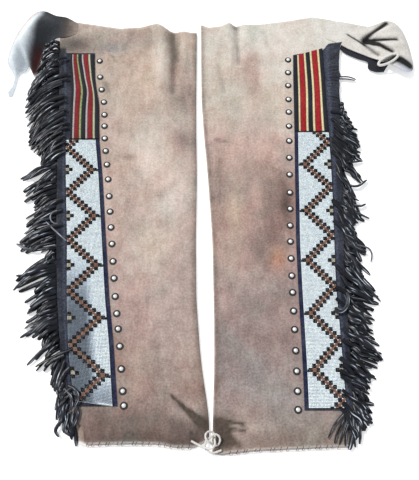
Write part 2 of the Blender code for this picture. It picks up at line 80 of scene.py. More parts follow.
class Finish:
    # One material. Its Principled shader takes even values by name and varying ones through wear()
    def __init__(self, name, **even):
        self.material = bpy.data.materials.new(name)
        self.material.use_nodes = True
        self.tree = self.material.node_tree
        self.shader = self.tree.nodes["Principled BSDF"]
        self.place = self.node("ShaderNodeTexCoord", output="Object")
        for socket, value in even.items():
            self.shader.inputs[socket.replace("_", " ").title().replace("Ior", "IOR")].default_value = value

    def node(self, kind, settings=None, values=None, output=0):
        made = self.tree.nodes.new(kind)
        for name, value in (settings or {}).items():
            if name == "stops":
                self.setStops(made.color_ramp, value)
            else:
                setattr(made, name, value)
        for name, value in (values or {}).items():
            self.feed(made.inputs[name], value)
        return Wire(self, made.outputs[output])

    def setStops(self, ramp, stops):
        while len(ramp.elements) < len(stops):
            ramp.elements.new(0.5)
        for element, (position, value) in zip(ramp.elements, stops):
            element.position = position
            element.color = (value, value, value, 1) if isinstance(value, (int, float)) else opaque(value)

    def feed(self, socket, value):
        if isinstance(value, Wire):
            self.tree.links.new(value.socket, socket)
        else:
            socket.default_value = value

    def maths(self, operation, *terms):
        return self.node("ShaderNodeMath", {"operation": operation}, dict(enumerate(terms)))

    def stretched(self, amounts):
        return self.node("ShaderNodeVectorMath", {"operation": "MULTIPLY"}, {0: self.place, 1: amounts})

    def noise(self, scale, detail=3, roughness=0.55, amounts=None):
        vector = self.stretched(amounts) if amounts else self.place
        return self.node("ShaderNodeTexNoise", None,
                         {"Vector": vector, "Scale": scale, "Detail": detail, "Roughness": roughness})

    def ramp(self, value, *stops):
        return self.node("ShaderNodeValToRGB", {"stops": stops}, {"Fac": value})

    def mix(self, factor, first, second, blend="MIX"):
        return self.node("ShaderNodeMix", {"data_type": "RGBA", "blend_type": blend},
                         {0: factor, 6: first, 7: second}, output=2)

    def tone(self):
        return self.node("ShaderNodeAttribute", {"attribute_name": "tone"}, output="Color")

    def bump(self, height, strength, depth):
        return self.node("ShaderNodeBump", None, {"Height": height, "Strength": strength, "Distance": depth})

    def wear(self, **varying):
        for socket, value in varying.items():
            self.feed(self.shader.inputs[socket.replace("_", " ").title()], value)
        return self.material


# Meshes: every piece is a joined set of points with its finish and body
def addPiece(name, points, faces, finishes, tones=None, faceFinish=None, sharp=None):
    mesh = bpy.data.meshes.new(name)
    mesh.from_pydata((np.asarray(points, float) * mm).tolist(), [], [tuple(face) for face in faces])
    work = bmesh.new()
    work.from_mesh(mesh)
    bmesh.ops.recalc_face_normals(work, faces=work.faces)
    work.to_mesh(mesh)
    work.free()
    for finish in finishes:
        mesh.materials.append(finish)
    if faceFinish is not None:
        mesh.polygons.foreach_set("material_index", np.asarray(faceFinish, np.int32))
    if tones is not None:
        layer = mesh.color_attributes.new("tone", "FLOAT_COLOR", "POINT")
        rgba = np.ones((len(points), 4), np.float32)
        rgba[:, :3] = tones
        layer.data.foreach_set("color", rgba.ravel())
    mesh.shade_smooth()
    if sharp:
        mesh.set_sharp_from_angle(angle=math.radians(sharp))
    made = bpy.data.objects.new(name, mesh)
    bpy.context.scene.collection.objects.link(made)
    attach(made, "root")
    return made


def gridFaces(rows, across, start=0):
    r, c = np.meshgrid(np.arange(rows - 1), np.arange(across - 1), indexing="ij")
    first = start + (r * across + c).ravel()
    return np.stack([first, first + 1, first + across + 1, first + across], 1)


def wallPiece(name, upper, lower, finishes, tones=None, lowerTones=None, columnFinish=None, sharp=50):
    # a closed wall between two grids with the same rows and columns
    upper = np.asarray(upper, float)
    lower = np.asarray(lower, float)
    rows, across = upper.shape[:2]
    under = rows * across
    top = gridFaces(rows, across)
    bottom = gridFaces(rows, across, under)[:, ::-1]
    last = (rows - 1) * across
    c = np.arange(across - 1)
    r = np.arange(rows - 1) * across
    ends = [np.stack([c, under + c, under + c + 1, c + 1], 1),
            np.stack([last + c, last + c + 1, under + last + c + 1, under + last + c], 1)]
    edge = r + across - 1
    sides = [np.stack([r, r + across, under + r + across, under + r], 1),
             np.stack([edge, under + edge, under + edge + across, edge + across], 1)]
    faces = np.concatenate([top, bottom, *ends, *sides])
    faceFinish = None
    if columnFinish is not None:
        each = np.tile(columnFinish, rows - 1)
        first, final = columnFinish[0], columnFinish[-1]
        faceFinish = np.concatenate([each, each, columnFinish, columnFinish,
                                     np.full(rows - 1, first), np.full(rows - 1, final)])
    points = np.concatenate([upper.reshape(-1, 3), lower.reshape(-1, 3)])
    if tones is not None:
        below = tones if lowerTones is None else lowerTones
        tones = np.concatenate([np.asarray(tones).reshape(-1, 3), np.asarray(below).reshape(-1, 3)])
    return addPiece(name, points, faces, finishes, tones, faceFinish, sharp)


def laidSheet(grid):
    # the grid is only turned into metres; nothing more is done with it
    grid = np.asarray(grid, float) * mm


def smoothStep(value):
    share = np.clip(value, 0.0, 1.0)
    return share * share * (3 - 2 * share)


def smoothRows(rows, steps):
    # one soft curve through the rows of a table, with so many steps between two rows
    rows = np.array(rows, float)
    padded = np.vstack([2 * rows[0] - rows[1], rows, 2 * rows[-1] - rows[-2]])
    found = []
    for k in range(1, len(padded) - 2):
        a, b, c, d = padded[k - 1:k + 3]
        for t in np.arange(steps) / steps:
            bend = (2 * a - 5 * b + 4 * c - d) * t ** 2 + (3 * b - a - 3 * c + d) * t ** 3
            found.append(0.5 * (2 * b + (c - a) * t + bend))
    return np.array(found + [rows[-1]])


def columnOf(columns, rows, name):
    return np.array([row[columns.index(name)] for row in rows], float)


def readAt(columns, rows, key, name, values):
    keys = columnOf(columns, rows, key)
    order = np.argsort(keys)
    return np.interp(values, keys[order], columnOf(columns, rows, name)[order])


def ridges(rows, x, y):
    # soft ridges and troughs, each as (x1, y1, x2, y2, half width, rise)
    total = np.zeros(np.broadcast(x, y).shape)
    for x1, y1, x2, y2, spread, rise in rows:
        dx, dy = x2 - x1, y2 - y1
        along = np.clip(((x - x1) * dx + (y - y1) * dy) / (dx * dx + dy * dy), 0, 1)
        away = np.hypot(x - x1 - along * dx, y - y1 - along * dy)
        total = total + rise * np.exp(-(away / spread) ** 2)
    return total


# The studio: camera above the hems, key light from the upper left, pale floor
studio = {
    "lookAt": (0, -0.0835, 0),
    "elevation": 66,
    "distance": 1.2867,
    "lens": 50,
    "sensor": 36,
    "skyColour": (0.93, 0.96, 1.0),
    "skyStrength": 0.62,
    "sunColour": (1.0, 0.97, 0.92),
    "sunStrength": 2.6,
    "sunSpread": 9,
    "sunFrom": (-0.62, 0.42, 0.9),
    "floorColour": (0.83, 0.83, 0.83),
    "floorGlow": 0.45,
    "floorReach": 6,
}


def makeStudio():
    scene = bpy.context.scene
    data = bpy.data.cameras.new("camera")
    data.lens = studio["lens"]
    data.sensor_width = studio["sensor"]
    data.clip_end = 20
    eye = bpy.data.objects.new("camera", data)
    scene.collection.objects.link(eye)
    rise = math.radians(studio["elevation"])
    away = Vector((0, -math.cos(rise), math.sin(rise)))
    eye.location = Vector(studio["lookAt"]) + away * studio["distance"]
    eye.rotation_euler = (-away).to_track_quat("-Z", "Y").to_euler()
    scene.camera = eye
    scene.view_settings.view_transform = "Standard"

    world = bpy.data.worlds.new("sky")
    world.use_nodes = True
    sky = world.node_tree.nodes["Background"]
    sky.inputs["Color"].default_value = opaque(studio["skyColour"])
    sky.inputs["Strength"].default_value = studio["skyStrength"]
    scene.world = world

    sun = bpy.data.lights.new("key", "SUN")
    sun.energy = studio["sunStrength"]
    sun.angle = math.radians(studio["sunSpread"])
    sun.color = studio["sunColour"]
    key = bpy.data.objects.new("key", sun)
    key.rotation_euler = (-Vector(studio["sunFrom"])).to_track_quat("-Z", "Y").to_euler()
    scene.collection.objects.link(key)

    floorFinish = Finish("paperFloor", roughness=0.95, emission_color=(1, 1, 1, 1),
                         emission_strength=studio["floorGlow"])
    floorFinish.wear(base_color=opaque(studio["floorColour"]))
    reach = studio["floorReach"]
    mesh = bpy.data.meshes.new("floor")
    mesh.from_pydata([(-reach, -reach, 0), (reach, -reach, 0), (reach, reach, 0), (-reach, reach, 0)],
                     [], [(0, 1, 2, 3)])
    mesh.materials.append(floorFinish.material)
    floor = bpy.data.objects.new("floor", mesh)
    floor.location.z = -0.0004
    scene.collection.objects.link(floor)


makeStudio()
print("studio ready")

# The two legs, as the maker cut them
leg = {
    "wall": 2.0,
    "gap": 2.5,
    "seam": 0.3,
    "bandWall": 1.2,
    "panelWall": 1.8,
    "navyEdge": 7.5,
    "studFromBand": 11.0,
    "studRadius": 6.2,
    "studHeight": 3.8,
    "columns": ("y", "fold", "band", "panel", "seam"),
    "edgeColumns": ("x", "y"),
    "bandEase": 25.0,
    "foldEase": 18.0,
    "studClear": 3.0,
    "thinnestGap": 0.7,
    "ease": (-16, -8, 0, 8, 16),
}
leg["foldRadius"] = leg["wall"] + leg["gap"] / 2
leg["top"] = 2 * leg["wall"] + leg["gap"]
leg["bandBase"] = leg["top"] + leg["seam"]
leg["panelBase"] = leg["bandBase"] + leg["bandWall"] + leg["seam"]

leftLeg = {
    "side": -1,
    "sections": (
        (450, -28, -257, -312, -332),
        (419, -28, -254, -310, -334),
        (348, -28, -251, -311, -327),
        (282, -28, -245, -303, -321),
        (230, -28, -233, -300, -316),
        (142, -27, -227, -295, -311),
        (50, -25, -214, -287, -304),
        (-84, -26, -199, -273, -293),
        (-205, -24, -185, -263, -280),
        (-300, -17, -171, -252, -266),
        (-336, -13, -167, -246, -259),
        (-394, -4, -160, -235, -245),
        (-430, 0, -155, -219, -229),
        (-464, -1, -152, -211, -218),
    ),
    "waist": (
        (-334, 455), (-291, 447), (-245, 439), (-200, 431), (-155, 434), (-134, 441),
        (-119, 444), (-104, 435), (-88, 424), (-70, 418), (-28, 419),
    ),
    "hem": (
        (-218, -459), (-208, -464), (-183, -463), (-128, -462), (-83, -463),
        (-60, -468), (-26, -468), (-1, -457),
    ),
    "folds": (
        (-108, 440, -106, 280, 15, 4.2),
        (-83, 440, -80, 262, 8, -3.4),
        (-58, 440, -57, 300, 13, 5.0),
        (-52, 60, -64, -70, 38, 2.6),
        (-150, 250, -140, 150, 45, 2.2),
        (-112, -40, -100, -190, 34, 2.4),
        (-60, -372, -12, -418, 9, 3.4),
        (-66, -388, -8, -436, 7, -1.8),
        (-120, -330, -96, -400, 26, 2.0),
        (-40, -455, -22, -436, 8, 2.8),
    ),
    "creases": (
        (-170, 415, -190, 372, 5, -1.2),
        (-140, 408, -150, 366, 5, 1.1),
        (-205, 330, -178, 300, 6, 0.9),
        (-92, 210, -60, 178, 6, -1.0),
        (-70, 120, -40, 92, 5, 0.9),
        (-150, 60, -118, 20, 7, -0.9),
        (-96, -220, -60, -262, 7, 1.0),
        (-140, -180, -128, -250, 8, -0.9),
        (-66, -380, -4, -432, 3.2, -2.2),
        (-110, -420, -70, -440, 6, 1.1),
        (-180, -432, -120, -446, 5, -0.9),
        (-44, 352, -40, 250, 5, -1.3),
    ),
    "bandLow": -401, "beadLow": -397, "beadHigh": 137, "ribbonLow": 141, "ribbonHigh": 356,
    "ribbonRise": 0.0, "ribbonInset": 8.0,
    "studs": (
        340, 297, 264, 232, 200, 172, 142, 112, 80, 46, 8, -26, -60, -95, -131,
        -165, -201, -234, -263, -295, -336, -375, -400,
    ),
}
rightLeg = {
    "side": 1,
    "sections": (
        (450, -20, 184, 249, 288),
        (377, -19, 184, 248, 283),
        (295, -18, 180, 247, 277),
        (230, -17, 178, 246, 273),
        (142, -11, 175, 246, 269),
        (72, -5, 172, 245, 266),
        (-18, 1, 169, 242, 260),
        (-84, 5, 166, 239, 256),
        (-185, 7, 165, 235, 251),
        (-262, 8, 165, 236, 250),
        (-336, 8, 165, 236, 249),
        (-404, 6, 164, 236, 246),
        (-440, 5, 162, 235, 243),
        (-480, 4, 160, 233, 239),
    ),
    "waist": (
        (-20, 442), (-2, 434), (26, 438), (45, 444), (60, 438), (126, 444),
        (174, 452), (231, 464), (270, 456), (290, 450),
    ),
    "hem": (
        (4, -480), (19, -480), (36, -477), (79, -473), (150, -470), (197, -468), (240, -467),
    ),
    "folds": (
        (42, 450, 46, 330, 11, 4.6),
        (58, 450, 62, 335, 7, -3.2),
        (80, 450, 84, 350, 13, 3.0),
        (112, 330, 96, 200, 34, 2.6),
        (10, 146, 34, 138, 7, 1.8),
        (70, 40, 88, -90, 40, 2.6),
        (58, -190, 70, -300, 34, 2.2),
        (20, -418, 52, -462, 7, 3.6),
        (32, -408, 62, -436, 6, -1.8),
        (20, -462, 44, -474, 6, 2.6),
        (120, -380, 100, -440, 24, 1.8),
    ),
    "creases": (
        (120, 420, 132, 372, 6, -1.0),
        (150, 428, 156, 390, 5, 1.0),
        (20, 330, 30, 262, 5, -1.1),
        (70, 300, 64, 236, 6, 1.0),
        (118, 160, 140, 120, 7, -0.9),
        (14, 142, 44, 132, 3.4, 1.3),
        (40, -10, 30, -60, 6, 1.0),
        (120, -120, 100, -170, 7, -0.9),
        (130, -250, 120, -310, 8, 0.9),
        (18, -414, 46, -440, 3.4, -1.8),
        (60, -444, 110, -452, 5, -1.0),
        (150, -430, 196, -440, 6, 0.9),
    ),
    "bandLow": -408, "beadLow": -404, "beadHigh": 155, "ribbonLow": 159, "ribbonHigh": 351,
    "ribbonRise": 22.0, "ribbonInset": 0.0,
    "studs": (
        343, 309, 275, 239, 207, 172, 136, 96, 57, 16, -20, -56, -90, -125, -160,
        -193, -229, -264, -303, -340, -375, -407,
    ),
}
legs = {"Left": leftLeg, "Right": rightLeg}


def lineAt(one, name, y):
    # a section line read a little above and below too, so that it bends softly
    readings = [readAt(leg["columns"], one["sections"], "y", name, np.asarray(y) + step) for step in leg["ease"]]
    return np.mean(readings, axis=0)


def hemAt(one, x):
    return readAt(leg["edgeColumns"], one["hem"], "x", "y", x)


def waistAt(one, x):
    return readAt(leg["edgeColumns"], one["waist"], "x", "y", x)


def topAt(one, x, y):
    side = one["side"]
    clear = leg["studFromBand"] + leg["studRadius"] + leg["studClear"]
    fromBand = side * (lineAt(one, "band", y) - x) - clear
    fromFold = side * (x - lineAt(one, "fold", y)) - leg["foldRadius"]
    free = smoothStep(fromBand / leg["bandEase"]) * smoothStep(fromFold / leg["foldEase"])
    above = smoothStep((y - one["ribbonHigh"] - 30) / 30)
    free = np.maximum(free, above * smoothStep(fromFold / leg["foldEase"]) * 0.5)
    rise = free * (ridges(one["folds"], x, y) + ridges(one["creases"], x, y))
    ripple = np.sin(x / 23 + np.sin(y / 61) * 2) * np.sin(y / 37 + x / 90) * 0.5
    return leg["top"] + np.maximum(rise + free * ripple, leg["thinnestGap"] - leg["gap"])


# Hides: suede with soft patches of colour, some of them painted shade and painted highlights
hideLook = {
    "rowStep": 5.0,
    "columnsTop": 48,
    "columnsBand": 20,
    "columnsFold": 9,
    "columnsUnder": 16,
    "underShows": 5.0,
    "underReach": 2.0,
    "cornerShort": 9.0,
    "patchShare": 1.3,
    "downColumns": ("y", "red", "green", "blue"),
    "leftDown": (
        (450, 196, 182, 170), (390, 192, 176, 163), (250, 196, 179, 166), (160, 196, 183, 173),
        (110, 195, 176, 165), (-20, 202, 184, 174), (-130, 189, 169, 161), (-230, 183, 162, 155),
        (-330, 170, 150, 141), (-400, 155, 137, 130), (-430, 124, 108, 102), (-470, 116, 102, 97),
    ),
    "rightDown": (
        (450, 218, 212, 202), (370, 214, 206, 196), (243, 205, 192, 178), (150, 200, 181, 173),
        (40, 168, 147, 139), (-104, 165, 145, 139), (-205, 166, 148, 144), (-300, 147, 133, 130),
        (-390, 158, 146, 143), (-456, 152, 139, 130),
    ),
    # x, y, half widths, colour and strength of each soft patch; besides the hide's own colour, some patches are
    # painted shade and painted highlights along the folds, and painted shade under the left tab
    "leftPatches": (
        (-170, 395, 60, 22, 160, 150, 144, 0.55),
        (-214, 376, 34, 16, 150, 148, 148, 0.7),
        (-130, 300, 26, 60, 214, 198, 180, 0.5),
        (-60, 380, 16, 60, 214, 200, 186, 0.5),
        (-84, 340, 8, 70, 166, 148, 138, 0.5),
        (-48, 250, 22, 90, 176, 157, 150, 0.5),
        (-160, 190, 34, 40, 186, 158, 146, 0.5),
        (-90, 140, 46, 36, 214, 190, 176, 0.5),
        (-70, 20, 40, 60, 216, 204, 196, 0.55),
        (-150, -30, 30, 60, 178, 156, 148, 0.5),
        (-110, -120, 50, 40, 206, 188, 180, 0.4),
        (-60, -250, 30, 60, 196, 172, 164, 0.4),
        (-130, -270, 30, 40, 172, 150, 144, 0.5),
        (-150, -420, 70, 16, 112, 98, 92, 0.45),
        (-40, -410, 30, 12, 190, 176, 168, 0.5),
        (-30, -446, 24, 12, 96, 84, 80, 0.6),
        (-120, -446, 60, 10, 120, 100, 92, 0.5),
        (-104, 330, 15, 70, 226, 218, 208, 0.6),
        (-86, 402, 15, 30, 128, 110, 98, 0.65),
        (-74, 346, 9, 52, 116, 100, 90, 0.75),
        (-300, 386, 46, 30, 84, 76, 73, 0.95),
        (-206, -450, 10, 22, 118, 98, 92, 0.6),
        (-160, 98, 15, 8, 140, 118, 108, 0.7),
        (-58, 236, 30, 30, 140, 120, 112, 0.55),
        (-124, 104, 36, 60, 230, 220, 210, 0.55),
        (-54, 138, 26, 32, 136, 118, 116, 0.6),
        (-102, 12, 16, 12, 156, 136, 126, 0.45),
        (-108, -98, 38, 40, 218, 204, 188, 0.5),
        (-176, -60, 18, 70, 196, 160, 150, 0.4),
        (-166, -330, 26, 60, 146, 124, 114, 0.4),
        (-196, 420, 60, 14, 150, 138, 130, 0.4),
    ),
    "rightPatches": (
        (60, 400, 60, 36, 224, 220, 210, 0.6),
        (150, 400, 60, 40, 226, 224, 216, 0.6),
        (20, 390, 22, 34, 196, 186, 176, 0.5),
        (118, 300, 50, 40, 222, 214, 202, 0.5),
        (98, 282, 9, 80, 178, 158, 146, 0.5),
        (30, 240, 24, 60, 196, 178, 164, 0.5),
        (150, 200, 24, 60, 212, 198, 184, 0.5),
        (60, 110, 60, 50, 178, 150, 138, 0.5),
        (120, 20, 40, 50, 158, 134, 124, 0.5),
        (40, -30, 34, 60, 152, 130, 122, 0.5),
        (60, -130, 50, 50, 184, 158, 150, 0.5),
        (130, -196, 30, 40, 150, 132, 128, 0.5),
        (50, -290, 40, 50, 146, 134, 132, 0.5),
        (120, -330, 50, 40, 168, 156, 154, 0.4),
        (60, -440, 50, 14, 186, 174, 166, 0.5),
        (130, -452, 60, 10, 134, 120, 112, 0.5),
        (252, 430, 44, 50, 230, 226, 218, 0.95),
        (30, 260, 60, 60, 204, 198, 186, 0.5),
        (150, 330, 30, 60, 226, 222, 214, 0.5),
        (82, 326, 20, 48, 192, 160, 150, 0.6),
        (58, 436, 9, 10, 120, 104, 96, 0.7),
        (150, -10, 16, 52, 92, 76, 70, 0.8),
        (122, -40, 16, 70, 126, 106, 100, 0.55),
        (50, -20, 16, 50, 208, 184, 164, 0.5),
        (88, 22, 18, 34, 200, 174, 164, 0.45),
        (70, 118, 60, 28, 214, 190, 182, 0.4),
        (92, 296, 22, 44, 186, 154, 146, 0.5),
        (126, 134, 28, 30, 214, 176, 164, 0.45),
        (34, -112, 26, 40, 190, 172, 160, 0.45),
        (100, -102, 28, 34, 122, 100, 94, 0.5),
        (130, -124, 14, 22, 194, 148, 120, 0.55),
        (46, 60, 22, 50, 188, 168, 158, 0.5),
        (20, 40, 10, 70, 132, 112, 106, 0.4),
    ),
    # painted shade in creases, folds and holes: x1, y1, x2, y2, half width, strength
    "leftLines": (
        (-66, -383, -48, -398, 2.2, 1.6), (-50, -397, -32, -413, 3.4, 2.0), (-34, -412, -16, -426, 5.2, 2.2),
        (-18, -425, 1, -440, 7.2, 2.4), (-33, -445, -31, -447, 2.4, 1.8), (-28, -456, -20, -460, 4, 0.9),
        (-204, 340, -214, 356, 4, 0.35), (-216, 262, -224, 284, 6, 0.45),
    ),
    "rightLines": (
        (14, -428, 22, -462, 12, 1.1), (24, -430, 36, -462, 9, 0.9), (30, -426, 58, -431, 3.2, 1.2),
        (34, -439, 60, -442, 3.0, 0.9), (34, -452, 50, -466, 5, 0.7),
        (12, 140, 34, 134, 2.6, 0.5),
    ),
    "creaseShadeTone": (78, 68, 60),
    "foldDark": (112, 96, 88),
    "foldRimHighlight": (226, 216, 206),
    "edgePale": (240, 232, 224),
    "leftHemShade": 0.3, "rightHemShade": 0.08,
    "marginTone": (36, 37, 44),
    "insideTone": (158, 143, 132),
    "cutEdge": (255, 252, 250),
}


def suedeFinish(name, mottle=1.0):
    suede = Finish(name, roughness=0.92, sheen_weight=0.25, sheen_roughness=0.6, specular_ior_level=0.25)
    blotch = suede.noise(9, 4, 0.6)
    cloud = suede.noise(34, 5, 0.65)
    speck = suede.noise(260, 3, 0.7)
    nap = suede.noise(1100, 2, 0.7)
    tone = suede.tone()
    cool = suede.noise(17, 4, 0.6, (1.6, 1, 1))
    warm = suede.mix(suede.ramp(blotch, (0.42, 0.0), (0.6, mottle)), tone, opaque((0.57, 0.485, 0.475)), "SOFT_LIGHT")
    hued = suede.mix(suede.ramp(cool, (0.46, 0.0), (0.64, mottle)), warm, opaque((0.5, 0.55, 0.535)), "SOFT_LIGHT")
    clouded = suede.mix(mottle, hued, suede.ramp(cloud, (0.3, 0.34), (0.52, 0.51), (0.74, 0.67)), "SOFT_LIGHT")
    streak = suede.noise(60, 3, 0.6, (2.2, 0.5, 1))
    streaked = suede.mix(0.45, clouded, suede.ramp(streak, (0.32, 0.34), (0.68, 0.66)), "SOFT_LIGHT")
    grained = suede.mix(0.6, streaked, suede.ramp(speck, (0.3, 0.2), (0.5, 0.5), (0.7, 0.8)), "SOFT_LIGHT")
    wearAndGlint = suede.mix(0.5, grained, suede.ramp(nap, (0.3, 0.3), (0.7, 0.7)), "SOFT_LIGHT")
    height = nap * 0.4 + speck * 0.6 + cloud * 0.8
    return suede.wear(base_color=wearAndGlint, roughness=speck * 0.2 + 0.8, normal=suede.bump(height, 0.35, 0.0012))


def blendPatches(tones, patches, x, y):
    for patchX, patchY, halfX, halfY, red, green, blue, strength in patches:
        share = min(strength * hideLook["patchShare"], 0.97) * np.exp(-((x - patchX) / halfX) ** 2 - ((y - patchY) / halfY) ** 2)
        tones = tones + share[..., None] * (np.array(paint(red, green, blue)) - tones)
    return tones


def tint(tones, colour, share):
    return tones + np.asarray(share)[..., None] * (np.array(paint(*colour)) - tones)


def hideTones(name, grid):
    one = legs[name]
    x, y = grid[..., 0], grid[..., 1]
    rows = hideLook[name.lower() + "Down"]
    shades = np.array([paint(*row[1:]) for row in rows])
    keys = columnOf(hideLook["downColumns"], rows, "y")[::-1]
    tones = np.stack([np.interp(y, keys, shades[::-1, k]) for k in range(3)], -1)
    tones = blendPatches(tones, hideLook[name.lower() + "Patches"], x, y)
    side = one["side"]
    fromFold = np.maximum(side * (x - lineAt(one, "fold", y)), 0)
    # painted shade where the hide rounds over its inner fold; on the right leg also a painted highlight along the
    # fold's rim
    tones = tint(tones, hideLook["foldDark"], 0.6 * np.exp(-((fromFold - 3) / 6) ** 2))
    if name == "Right":
        tones = tint(tones, hideLook["foldRimHighlight"], 0.7 * np.exp(-(fromFold / 2) ** 2))
    # painted shade in the troughs of the folds and creases
    troughShade = np.clip(-ridges(one["creases"] + one["folds"], x, y) / 6, 0, 0.45)
    tones = tones * (1 - troughShade[..., None])
    fromHem = y - hemAt(one, x)
    shade = hideLook[name.lower() + "HemShade"]
    tones = tones * (1 - shade * np.exp(-(fromHem / 16) ** 2))[..., None]
    tones = tint(tones, hideLook["edgePale"], np.where(grid[..., 2] < 5.5, 0.85, 0.5) * np.exp(-(fromHem / 2.6) ** 2))
    tones = tint(tones, hideLook["edgePale"], 0.6 * np.exp(-((waistAt(one, x) - y) / 3) ** 2))
    # painted shade along the creases, folds and holes of the lines table
    lines = np.clip(ridges(hideLook[name.lower() + "Lines"], x, y), 0, 1) * (grid[..., 2] > 3)
    tones = tint(tones, hideLook["creaseShadeTone"], lines)
    margin = smoothStep(side * (x - lineAt(one, "panel", y)) / 3 - 0.4)
    margin = margin * smoothStep((y - one["bandLow"]) / 8) * smoothStep((one["ribbonHigh"] + 26 - y) / 10)
    return tint(tones, hideLook["marginTone"], margin)


def hideRows(one):
    # rows as (y in the straight stretch, share of the way to the waist or hem edge)
    count = int((one["ribbonHigh"] - one["beadLow"]) / hideLook["rowStep"])
    middle = [(y, 0.0) for y in np.linspace(one["beadLow"], one["ribbonHigh"], count)]
    low = [(one["beadLow"], -share) for share in np.linspace(1, 0, 18)[:-1]]
    high = [(one["ribbonHigh"], share) for share in np.linspace(0, 1, 24)[1:]]
    return low + middle + high


def rowY(one, row, x):
    y, share = row
    if share > 0:
        return y + share * (waistAt(one, x) - y)
    return y + share * (y - hemAt(one, x))


def makeHide(name, finish):
    one = legs[name]
    side = one["side"]
    radius = leg["foldRadius"]
    outer = []
    inner = []
    for row in hideRows(one):
        level = float(rowY(one, row, (lineAt(one, "fold", row[0]) + lineAt(one, "seam", row[0])) / 2))
        base = float(lineAt(one, "fold", level)) + side * radius
        band = float(lineAt(one, "band", level))
        seam = float(lineAt(one, "seam", level))
        lowEnd = smoothStep((-row[1] - 0.55) / 0.45)
        cornerEnd = smoothStep((-row[1] - 0.35) / 0.3) if name == "Left" else 0.0
        shares = np.linspace(1, 0, hideLook["columnsUnder"])
        x = base + shares * (seam + side * hideLook["underReach"] * cornerEnd - base)
        y = rowY(one, row, x) - hideLook["underShows"] * lowEnd * smoothStep(np.abs(x - base) / 30)
        outside = np.stack([x, y, np.zeros_like(x)], 1)
        inside = np.stack([x, y, np.full_like(x, leg["wall"])], 1)
        turns = np.linspace(0, math.pi, hideLook["columnsFold"] + 1)[1:-1]
        atFold = np.full_like(turns, rowY(one, row, base))
        rings = []
        for reach in (radius, radius - leg["wall"]):
            rings.append(np.stack([base - side * reach * np.sin(turns), atFold, radius - reach * np.cos(turns)], 1))
        short = hideLook["cornerShort"] * cornerEnd
        topX = np.concatenate([base + np.linspace(0, 1, hideLook["columnsTop"]) * (band - base),
                               band + np.linspace(0, 1, hideLook["columnsBand"])[1:] * (seam - side * short - band)])
        topY = rowY(one, row, topX)
        height = topAt(one, topX, topY)
        outer.append(np.concatenate([outside, rings[0], np.stack([topX, topY, height], 1)]))
        inner.append(np.concatenate([inside, rings[1], np.stack([topX, topY, height - leg["wall"]], 1)]))
    outer = np.array(outer)
    inner = np.array(inner)
    tones = hideTones(name, outer)
    inside = np.broadcast_to(np.array(paint(*hideLook["insideTone"])), inner.shape)
    fromHem = inner[..., 1] - hemAt(one, inner[..., 0])
    inside = tint(inside, hideLook["cutEdge"], np.exp(-(np.maximum(fromHem + 1, 0) / 3) ** 2))
    piece = wallPiece("hide" + name, outer, inner, [finish], tones, inside)
    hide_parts("hide_" + name.lower())
    return piece, outer


suede = suedeFinish("mottledSuede")
hides = {}
hideGrids = {}
for name in legs:
    hides[name], hideGrids[name] = makeHide(name, suede)
print("hides ready")

# Navy wool bands under the beads and ribbons
bandLook = {
    "over": 5.0,
    "pastSeam": 1.2,
    "lines": 26,
    "rowStep": 2.2,
    "slantFrom": 20.0,
    "peak": 13.0,
    "pucker": 2.1,
    "puckerPitch": 8.0,
    "swell": 1.3,
    "edging": (26, 32, 66),
    "leftOutside": (32, 35, 47), "rightOutside": (43, 46, 60),
    "sheen": (88, 96, 120),
    "troughShade": (10, 10, 14),
    "edgeColumns": ("y", "out"),
    # how far the right band's puckered edge stands out past the seam
    "rightEdge": (
        (-420, 0), (205, 0), (222, 3), (240, 1), (258, 0), (276, 1.5), (290, 0.5), (300, 4), (310, 1), (322, -1),
        (334, 0.5), (346, 4), (357, 10), (368, 14), (380, 15), (392, 11),
    ),
    "leftEdge": ((-420, 0), (400, 0)),
}


def woolFinish(name):
    wool = Finish(name, roughness=0.95, sheen_weight=0.2, sheen_roughness=0.5, specular_ior_level=0.2)
    warp = wool.node("ShaderNodeTexWave", {"bands_direction": "X"}, {"Vector": wool.place, "Scale": 260})
    weft = wool.node("ShaderNodeTexWave", {"bands_direction": "Y"}, {"Vector": wool.place, "Scale": 260})
    fluff = wool.noise(300, 4, 0.75)
    dust = wool.noise(30, 5, 0.65)
    weave = warp * weft
    base = wool.mix(wool.ramp(dust, (0.4, 0.0), (0.8, 0.55)), wool.tone(), opaque(paint(92, 97, 108)))
    shade = wool.mix(1.0, base, wool.ramp(fluff, (0.34, 0.12), (0.5, 0.5), (0.68, 0.9)), "SOFT_LIGHT")
    height = weave * 0.5 + fluff * 0.7
    return wool.wear(base_color=shade, normal=wool.bump(height, 0.5, 0.0008))


def slanted(one, y, share):
    # ribbons and bands rise towards the outer side above the last level row
    level = one["ribbonHigh"] - bandLook["slantFrom"]
    return y + share * one["ribbonRise"] * np.clip((y - level) / bandLook["slantFrom"], 0, 1)


